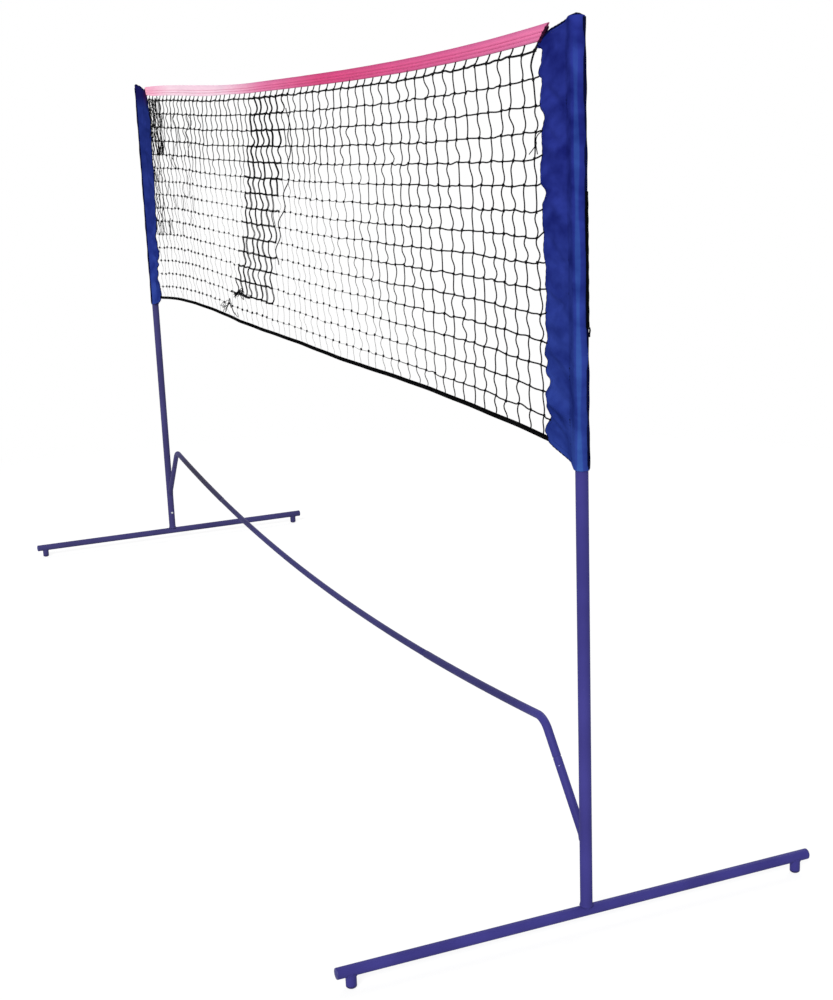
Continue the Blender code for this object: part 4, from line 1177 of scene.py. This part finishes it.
def build_strip(side, name):
    """The black touch-and-close strip on the sleeve's outer rear side, and its pull loop."""
    inner = POCKET_RADIUS + CLEAR
    outer = inner + STRIP_THICKNESS
    x0 = side * SPAN / 2
    angle = np.linspace(STRIP_BEARING - STRIP_HALF_WIDTH, STRIP_BEARING + STRIP_HALF_WIDTH, 17)
    steps = np.arange(17)
    radius_out = outer - 0.0006 * (1 - smooth(np.minimum(steps, 16 - steps) / 1.5))
    z = np.concatenate([
        [STRIP_LOW, STRIP_LOW + 0.0007], np.linspace(STRIP_LOW + 0.002, STRIP_TOP - 0.002, 70),
        [STRIP_TOP - 0.0007, STRIP_TOP]])
    seam = 0.0002 * hill(np.degrees(angle), math.degrees(STRIP_BEARING), 3)
    a = np.concatenate([angle, angle[::-1]])
    rings = []
    for k, height in enumerate(z):
        end = min(k, len(z) - 1 - k)
        down = (0.0010, 0.0003)[end] if end < 2 else 0.0
        wavy = 0.00025 * np.sin(height * 260)
        r = np.concatenate([radius_out - down - seam + wavy, np.full(17, inner)])
        rings.append(points_at(x0 + side * r * np.cos(a), r * np.sin(a), height))
    shape = Shape()
    shape.grid(np.array(rings), np.arange(35) * 0.0014, z, around=True, ends=True)
    shape.piece("fastening_strip_" + name, FLEECE, "net", nodes=["closure_strip_" + name])
    seams = Shape()
    heights = np.linspace(STRIP_LOW + 0.003, STRIP_TOP - 0.003, 80)
    for bearing in (angle[2], angle[-3]):
        out = np.array([side * math.cos(bearing), math.sin(bearing), 0])
        spot = np.array([x0, 0, 0]) + out * (outer + 0.0001)
        seams.stitches(points_at(spot[0], spot[1], heights), out, *STRIP_STITCH)
    seams.piece("strip_stitches_" + name, TWINE, "net")

    out = np.array([side * math.cos(STRIP_BEARING), math.sin(STRIP_BEARING), 0])
    across = np.array([-side * math.sin(STRIP_BEARING), math.cos(STRIP_BEARING), 0])
    middle = np.array([x0, 0, 0]) + out * (inner + LOOP_THICKNESS - 0.0002)
    half = LOOP_WIDTH / 2 - LOOP_THICKNESS / 2
    top = STRIP_LOW + 0.001
    low = STRIP_LOW - (LOOP_LENGTH - LOOP_WIDTH)
    path = [middle + across * half + np.array([0, 0, z]) for z in np.linspace(top, low, 6)]
    for step in range(1, 12):
        turn = -math.pi * step / 12
        path.append(middle + across * half * math.cos(turn) + np.array([0, 0, low + half * math.sin(turn)]))
    path += [middle - across * half + np.array([0, 0, z]) for z in np.linspace(low, top, 6)]
    path = np.array(path)
    # The loop is drawn together and bows out a little under the strip
    twist = smooth((STRIP_LOW - path[:, 2:]) / 0.004)
    leg = ((path - middle) @ across)[:, None]
    bow = 0.0004 + 0.0011 * hill(path[:, 2:], STRIP_LOW - 0.0035, 0.0034)
    path += out * bow - across * leg * 0.5 * twist
    loop = Shape()
    loop.tube(path, 0.9 * LOOP_THICKNESS, 10, up=(0, 0, 1))
    loop.piece("tab_loop_" + name, TWINE, "net", nodes=["pull_loop_" + name])


# Netting

def thread_radius(x, z, row=False):
    """Threads are full near the sleeves and under the tape, thin lower down between, rows less so."""
    top = tape_top(x) - tape_depth(x)
    down = np.clip((top - z) / (top - hem_top(x)), 0, 1)
    near = smooth((x - 0.05 - 0.30 * smooth((down - 0.60) / 0.30)) / 0.85)
    upper = smooth((0.50 - down) / 0.30)
    far = hill(x, -1.40, 0.15 + 0.25 * (1 - down), 3) * smooth((0.9 - down) / 0.4)
    if row:
        full = np.maximum(near, np.maximum(upper, 0.5 * far))
        return 0.00036 + 0.00110 * full
    full = np.maximum(near, np.maximum(upper, 1.1 * far))
    return 0.00033 + 0.00092 * full


def pleat(x, z):
    """1 in the slanting band where the net lies in a pleat, three layers on each other."""
    middle = -0.095 - 0.44 * (1.49 - z)
    return hill(x, middle, 0.150 + 0.04 * smooth((1.1 - z) / 0.15), 8)


def billow(x, z, share):
    wave = 0.0045 * np.sin(5.1 * x + 2.2 * z) + 0.0030 * np.sin(11.7 * x - 5 * z + 1)
    return wave * np.sin(math.pi * np.clip(share, 0, 1)) ** 0.6


def net_knots(rng):
    share = np.broadcast_to(np.arange(ROWS) / (ROWS - 1), (COLUMNS, ROWS))
    column = np.arange(COLUMNS)[:, None] / (COLUMNS - 1)
    x = FIRST_KNOT + (LAST_KNOT - FIRST_KNOT + LAST_KNOT_DRIFT * share) * column
    x = x + rng.normal(0, 0.0010, x.shape)
    step = (np.indices(x.shape).sum(0) % 2 - 0.5) * 0.0012
    z = row_height(x, share) + step + rng.normal(0, 0.0007, x.shape)
    y = billow(x, z, share) + rng.normal(0, 0.0009, x.shape)
    y[:, 0] = tape_sway(x[:, 0])
    # The last column is drawn aside by the strand that comes down from the tape's corner
    x[-1, :4] += (0.002, -0.009, 0.003, 0.001)
    return np.stack([x, y, z], 2)


def row_end(side, r):
    """Where a row is tied to the sleeve. The near sleeve pulls most rows up a little."""
    z = row_height(side * 1.38, r / (ROWS - 1))
    if side > 0:
        z += 0.007 * hill(r, 7, 3.6) - 0.003 * smooth(r - 10) + 0.004 * (r % 3 == 1)
        z = z if r else 1.5155
    return np.array([side * (SPAN / 2 - float(edge_reach(side, z)) + 0.0035), 0.0, z])


def run_between(knots, bows, swings):
    """A path through knots (n, 3): bows (n - 1, 3) peak half way, swings (n - 1, 3) turn over there."""
    share = np.arange(CELL_STEPS) / CELL_STEPS
    start = knots[:-1, None]
    span = np.diff(knots, axis=0)[:, None]
    bow = np.sin(math.pi * share)[None, :, None] * bows[:, None]
    swing = np.sin(math.tau * share)[None, :, None] * swings[:, None]
    path = start + span * share[None, :, None] + bow + swing
    return np.concatenate([path.reshape(-1, 3), knots[-1:]])


def curve(points, steps):
    """A smooth path through points, level with its neighbours at each."""
    points = np.array(points, float)
    ahead = np.gradient(points, axis=0)
    share = (np.arange(steps) / steps)[None, :, None]
    start, end = points[:-1, None], points[1:, None]
    away, back = ahead[:-1, None], ahead[1:, None]
    square, cube = share ** 2, share ** 3
    path = (start * (2 * cube - 3 * square + 1) + away * (cube - 2 * square + share)
            + end * (3 * square - 2 * cube) + back * (cube - square))
    return np.concatenate([path.reshape(-1, 3), points[-1:]])


def knot_template(steps=14):
    """A small pulled-tight loop of thread, about 1 across."""
    turn = np.arange(steps) / steps * math.tau
    path = np.stack([
        np.sin(turn) + 2 * np.sin(2 * turn), np.cos(turn) - 2 * np.cos(2 * turn), -1.1 * np.sin(3 * turn)], 1)
    return path / 6


def build_netting():
    rng = np.random.default_rng(11)
    knots = net_knots(rng)
    halves = {"left": Shape(), "right": Shape()}
    layers = Shape()
    # Neighbouring threads bow alike, and turn the other way every few columns
    column, row = np.indices((COLUMNS, ROWS))
    lean = 0.0012 * np.sin(0.55 * column + 0.9 * row) + rng.normal(0, 0.0014, (COLUMNS, ROWS))
    for c in range(COLUMNS):
        x = knots[c, -1, 0]
        end = np.array([[x + rng.normal(0, 0.002), hem_sway(x), hem_top(x) - 0.004]])
        line = np.concatenate([knots[c], end])
        count = len(line) - 1
        bows = np.stack([rng.normal(0.0008, 0.0010, count), lean[c], np.zeros(count)], 1)
        swings = np.stack([
            rng.normal(-0.0010, 0.0006, count), rng.normal(-0.0012, 0.0008, count), np.zeros(count)], 1)
        in_pleat = pleat(line[:-1, 0], line[:-1, 2] - 0.02) * (np.arange(count) < PLEAT_ROWS)
        bows[:, 1] += 0.0030 * in_pleat * np.where(np.arange(count) % 2, -1, 1)
        path = run_between(line, bows, swings)
        if c == COLUMNS - 1:
            path = path[2 * CELL_STEPS:]
        halves["left" if x < 0 else "right"].tube(path, thread_radius(path[:, 0], path[:, 2]), 5)
        for shift in ((0.0008, -0.0014, 0), (-0.0008, 0.0015, 0)):
            for r in np.flatnonzero(in_pleat >= 0.5):
                part = path[r * CELL_STEPS:(r + 1) * CELL_STEPS + 1]
                layers.tube(part + (shift + rng.normal(0, 0.0004, 3)), 0.0010, 5)

    for r in range(ROWS):
        line = np.concatenate([[row_end(-1, r)], knots[:, r], [row_end(1, r)]])
        count = len(line) - 1
        bows = np.stack([
            np.zeros(count), rng.normal(0, 0.0016, count), rng.normal(-0.0007, 0.0006, count)], 1)
        swings = np.stack([np.zeros(count), rng.normal(0, 0.0006, count), rng.normal(0, 0.0006, count)], 1)
        path = run_between(line, bows, swings)
        radius = thread_radius(path[:, 0], path[:, 2], row=True)
        for k in range(1, count - 1):
            if r <= PLEAT_ROWS and pleat(line[k, 0] + 0.023, line[k, 2]) > 0.5:
                part = path[k * CELL_STEPS:(k + 1) * CELL_STEPS + 1]
                for drop in (-0.0013, 0.0013):
                    layers.tube(part + np.array([0, 0.001, drop]) + rng.normal(0, 0.0003, 3), 0.0012, 5)
        if r == 0:
            radius = radius * 1.3
        half = len(path) // 2
        halves["left"].tube(path[:half + 1], radius[:half + 1], 5)
        halves["right"].tube(path[half:], radius[half:], 5)

    halves["left"].piece("net_threads_left", TWINE, "net", 60, nodes=["netting"])
    halves["right"].piece("net_threads_right", TWINE, "net", 60)

    tied = {"left": Shape(), "right": Shape()}
    template = knot_template()
    for c in range(COLUMNS):
        for r in range(ROWS):
            spot = knots[c, r]
            size = 0.0044 + 0.0008 * float(pleat(spot[0], spot[2])) + 0.0010 * smooth((-0.55 - spot[0]) / 0.3)
            spin = rng.uniform(0, math.tau)
            tilt = rng.uniform(-0.35, 0.35)
            tip = np.array(Matrix.Rotation(math.pi / 2 + tilt, 3, "X"))
            turned = template @ np.array(Matrix.Rotation(spin, 3, "Z")) @ tip
            path = spot + turned * size * 1.15
            if r == 0:
                slant = (turned[:, 0] + turned[:, 2]) * 0.6
                path = path + points_at(slant, 0, 0.5 * slant) * size
            tied["left" if spot[0] < 0 else "right"].tube(path, size * 0.29, 5, tip[2], closed=True)
    for side, shape in tied.items():
        shape.piece("net_knots_" + side, TWINE, "net", 60)

    lashing = Shape()
    for c in range(COLUMNS):
        spot = knots[c, 0]
        over = min(spot[0] + rng.uniform(0.016, 0.022), LASHING_END)
        top = tape_top(over) - tape_depth(over) + 0.006
        far = np.array([over, tape_sway(over), top])
        share = np.linspace(0, 1, 7)[:, None]
        sag = np.sin(math.pi * share) * np.array([[0.0008, rng.normal(0, 0.0008), -0.0012]])
        path = spot + (far - spot) * share + sag
        lashing.tube(path, thread_radius(path[:, 0], path[:, 2]) * 1.1, 5)
    # Edge strand from the tape's lower corner, and loose ends near the right sleeve
    strand = curve([row_end(1, 0), knots[-1, 0], (knots[-1, 0] + knots[-1, 1]) / 2 - (0.0105, 0, 0),
                    knots[-1, 1], knots[-1, 2]], 8)
    lashing.tube(strand, np.linspace(0.0019, 0.0012, len(strand)), 6)
    for sway in (1, -1):
        end = row_end(1, 3)
        loose = end + np.array([(0, 0, 0), (-0.015, -0.002, -0.007), (-0.020, -0.003, -0.015),
                                (-0.022, -0.002, -0.023), (-0.032 - 0.015 * sway, -0.002, -0.038)])
        lashing.tube(curve(loose, 5), 0.0009, 5)
    # Slack threads bunched beside the left sleeve
    share = np.linspace(0, 1, 12)[:, None]
    for k in range(BUNCH_THREADS):
        column = int(rng.integers(0, 4)) if k < 80 else min(int(rng.exponential(3.6)), 10)
        r = int(rng.integers(0, 4)) if k < 120 else int(rng.integers(4, 10))
        first = knots[column, r] + rng.normal(0, 0.004, 3) * (3, 1, 1)
        last = knots[column, r + 1] + rng.uniform(-0.03, 0.03) * np.array([1, 0, 0])
        bow = rng.normal(0, 0.006, 3) * np.array([1, 0.6, 0.3])
        path = first + (last - first) * share + np.sin(math.pi * share) * bow
        lashing.tube(path, 0.0008, 5)
    # Tangles along the row where the pleat ends, and a few short threads between that and the hem
    tangles = ((-0.430, 0.090, 0.0050, 9, 0.0010, 3.5), (-0.470, 0.050, 0.0160, 10, 0.0011, 3),
               (-0.565, 0.075, 0.0230, 13, 0.0008, 2))
    for x, wide, high, count, thick, most in tangles:
        for k in range(count):
            turn = np.linspace(0, rng.uniform(0.5 * most, most), 16) + rng.uniform(0, math.tau)
            spread = rng.uniform(0.4, 1.0, 3) * np.array([wide, 0.006, high])
            path = np.stack([np.cos(turn), np.sin(2 * turn), np.sin(1.7 * turn)], 1) * spread
            path = path + (x, 0, 0) + rng.normal(0, 0.3, 3) * spread
            path[:, 2] += row_height(path[:, 0], PLEAT_ROWS / (ROWS - 1)) - (0.046 if most < 3 else 0)
            lashing.tube(path, thick, 5, up=(0.3, 1, 0.2))
    # One slack strand beside the pleat
    z = np.linspace(1.445, 1.06, 60)
    x = 0.056 - 0.15 * smooth((1.36 - z) / 0.3) + 0.004 * np.sin(z * 74)
    lashing.tube(points_at(x, 0.004 * np.sin(z * 90), z), 0.0013, 6)
    lashing.piece("net_lashing", TWINE, "net", 60)
    layers.piece("net_pleat", TWINE, "net", 60)


# Camera, at the photograph's place

def make_camera():
    azimuth = math.radians(-67.621)
    pitch = math.radians(13.847)
    roll = math.radians(-2.145)
    focal_pixels = 1520.1
    picture_height = 1000
    spot = (3.6553, -1.1841, 1.3940)
    forward = Vector((
        math.sin(azimuth) * math.cos(pitch), math.cos(azimuth) * math.cos(pitch), -math.sin(pitch)))
    level = Vector((math.cos(azimuth), -math.sin(azimuth), 0))
    over = level.cross(forward)
    right = math.cos(roll) * level + math.sin(roll) * over
    up = -math.sin(roll) * level + math.cos(roll) * over
    turn = Matrix((right, up, -forward)).transposed()
    data = bpy.data.cameras.new("camera")
    data.sensor_fit = "AUTO"
    data.sensor_width = 36
    data.lens = data.sensor_width * focal_pixels / picture_height
    camera = bpy.data.objects.new("camera", data)
    camera.matrix_world = Matrix.Translation(spot) @ turn.to_4x4()
    bpy.context.scene.collection.objects.link(camera)
    bpy.context.scene.camera = camera


# Floor, world and lamps

def make_studio():
    scene = bpy.context.scene
    world = bpy.data.worlds.new("studio")
    scene.world = world
    world.use_nodes = True
    nodes = world.node_tree.nodes
    fill = nodes["Background"]
    seen = nodes.new("ShaderNodeBackground")
    for shader, strength in ((fill, 0.44), (seen, 1.0)):
        shader.inputs["Color"].default_value = (1, 1, 1, 1)
        shader.inputs["Strength"].default_value = strength
    path = nodes.new("ShaderNodeLightPath")
    either = nodes.new("ShaderNodeMath")
    either.operation = "MAXIMUM"
    mix = nodes.new("ShaderNodeMixShader")
    for source, target in (
            (path.outputs["Is Camera Ray"], either.inputs[0]),
            (path.outputs["Is Glossy Ray"], either.inputs[1]),
            (either.outputs[0], mix.inputs[0]),
            (fill.outputs[0], mix.inputs[1]),
            (seen.outputs[0], mix.inputs[2]),
            (mix.outputs[0], nodes["World Output"].inputs["Surface"])):
        world.node_tree.links.new(source, target)

    # For the camera the floor is white where it is lit, and a little darker in the object's shadow
    n = Nodes("floor")
    n.finish((0.8, 0.8, 0.8, 1), 0.95, Specular_IOR_Level=0.0)
    soft = n.add("BsdfDiffuse", Color=(0.24, 0.24, 0.24, 1))
    glow = n.add("Emission", Strength=0.80)
    white = n.add("Emission", Strength=1.0)
    both = n.add("AddShader")
    length = n.add("VectorMath", operation="LENGTH")
    n.link(n.place(), length.inputs[0])
    far = n.add("MixShader")
    path = n.add("LightPath")
    mix = n.add("MixShader")
    for source, target in (
            (soft.outputs[0], both.inputs[0]),
            (glow.outputs[0], both.inputs[1]),
            (n.spread(length.outputs["Value"], 0, 1, 1.7, 3.2), far.inputs[0]),
            (both.outputs[0], far.inputs[1]),
            (white.outputs[0], far.inputs[2]),
            (path.outputs["Is Camera Ray"], mix.inputs[0]),
            (n.shader.outputs[0], mix.inputs[1]),
            (far.outputs[0], mix.inputs[2]),
            (mix.outputs[0], n.tree.nodes["Material Output"].inputs["Surface"])):
        n.link(source, target)
    mesh = bpy.data.meshes.new("floor")
    half, low = 30, -0.0002
    corners = [(-half, -half, low), (half, -half, low), (half, half, low), (-half, half, low)]
    mesh.from_pydata(corners, [], [(0, 1, 2, 3)])
    mesh.materials.append(n.material)
    floor = bpy.data.objects.new("floor", mesh)
    scene.collection.objects.link(floor)

    def lamp(name, strength, bearing, rise):
        """A far, soft lamp. bearing turns from +X towards +Y, rise is its height above the floor's plane."""
        data = bpy.data.lights.new(name, "SUN")
        data.energy = strength
        data.angle = math.radians(25)
        thing = bpy.data.objects.new(name, data)
        bearing, rise = math.radians(bearing), math.radians(rise)
        level = math.cos(rise)
        away = Vector((level * math.cos(bearing), level * math.sin(bearing), math.sin(rise)))
        thing.rotation_euler = (-away).to_track_quat("-Z", "Y").to_euler()
        thing.location = away * 6
        scene.collection.objects.link(thing)

    lamp("key", 2.5, -42, 32)
    lamp("back", 0.9, 130, 40)


make_camera()
make_studio()
for side, side_name in SIDES:
    build_foot(side, side_name)
    build_post(side, side_name)
    build_socket(side, side_name)
    build_bar(side, side_name)
    build_buttons(side, side_name)
    build_sleeve(side, side_name)
    build_strip(side, side_name)
build_tape()
build_hem()
build_netting()
bpy.context.scene.view_settings.view_transform = "Standard"
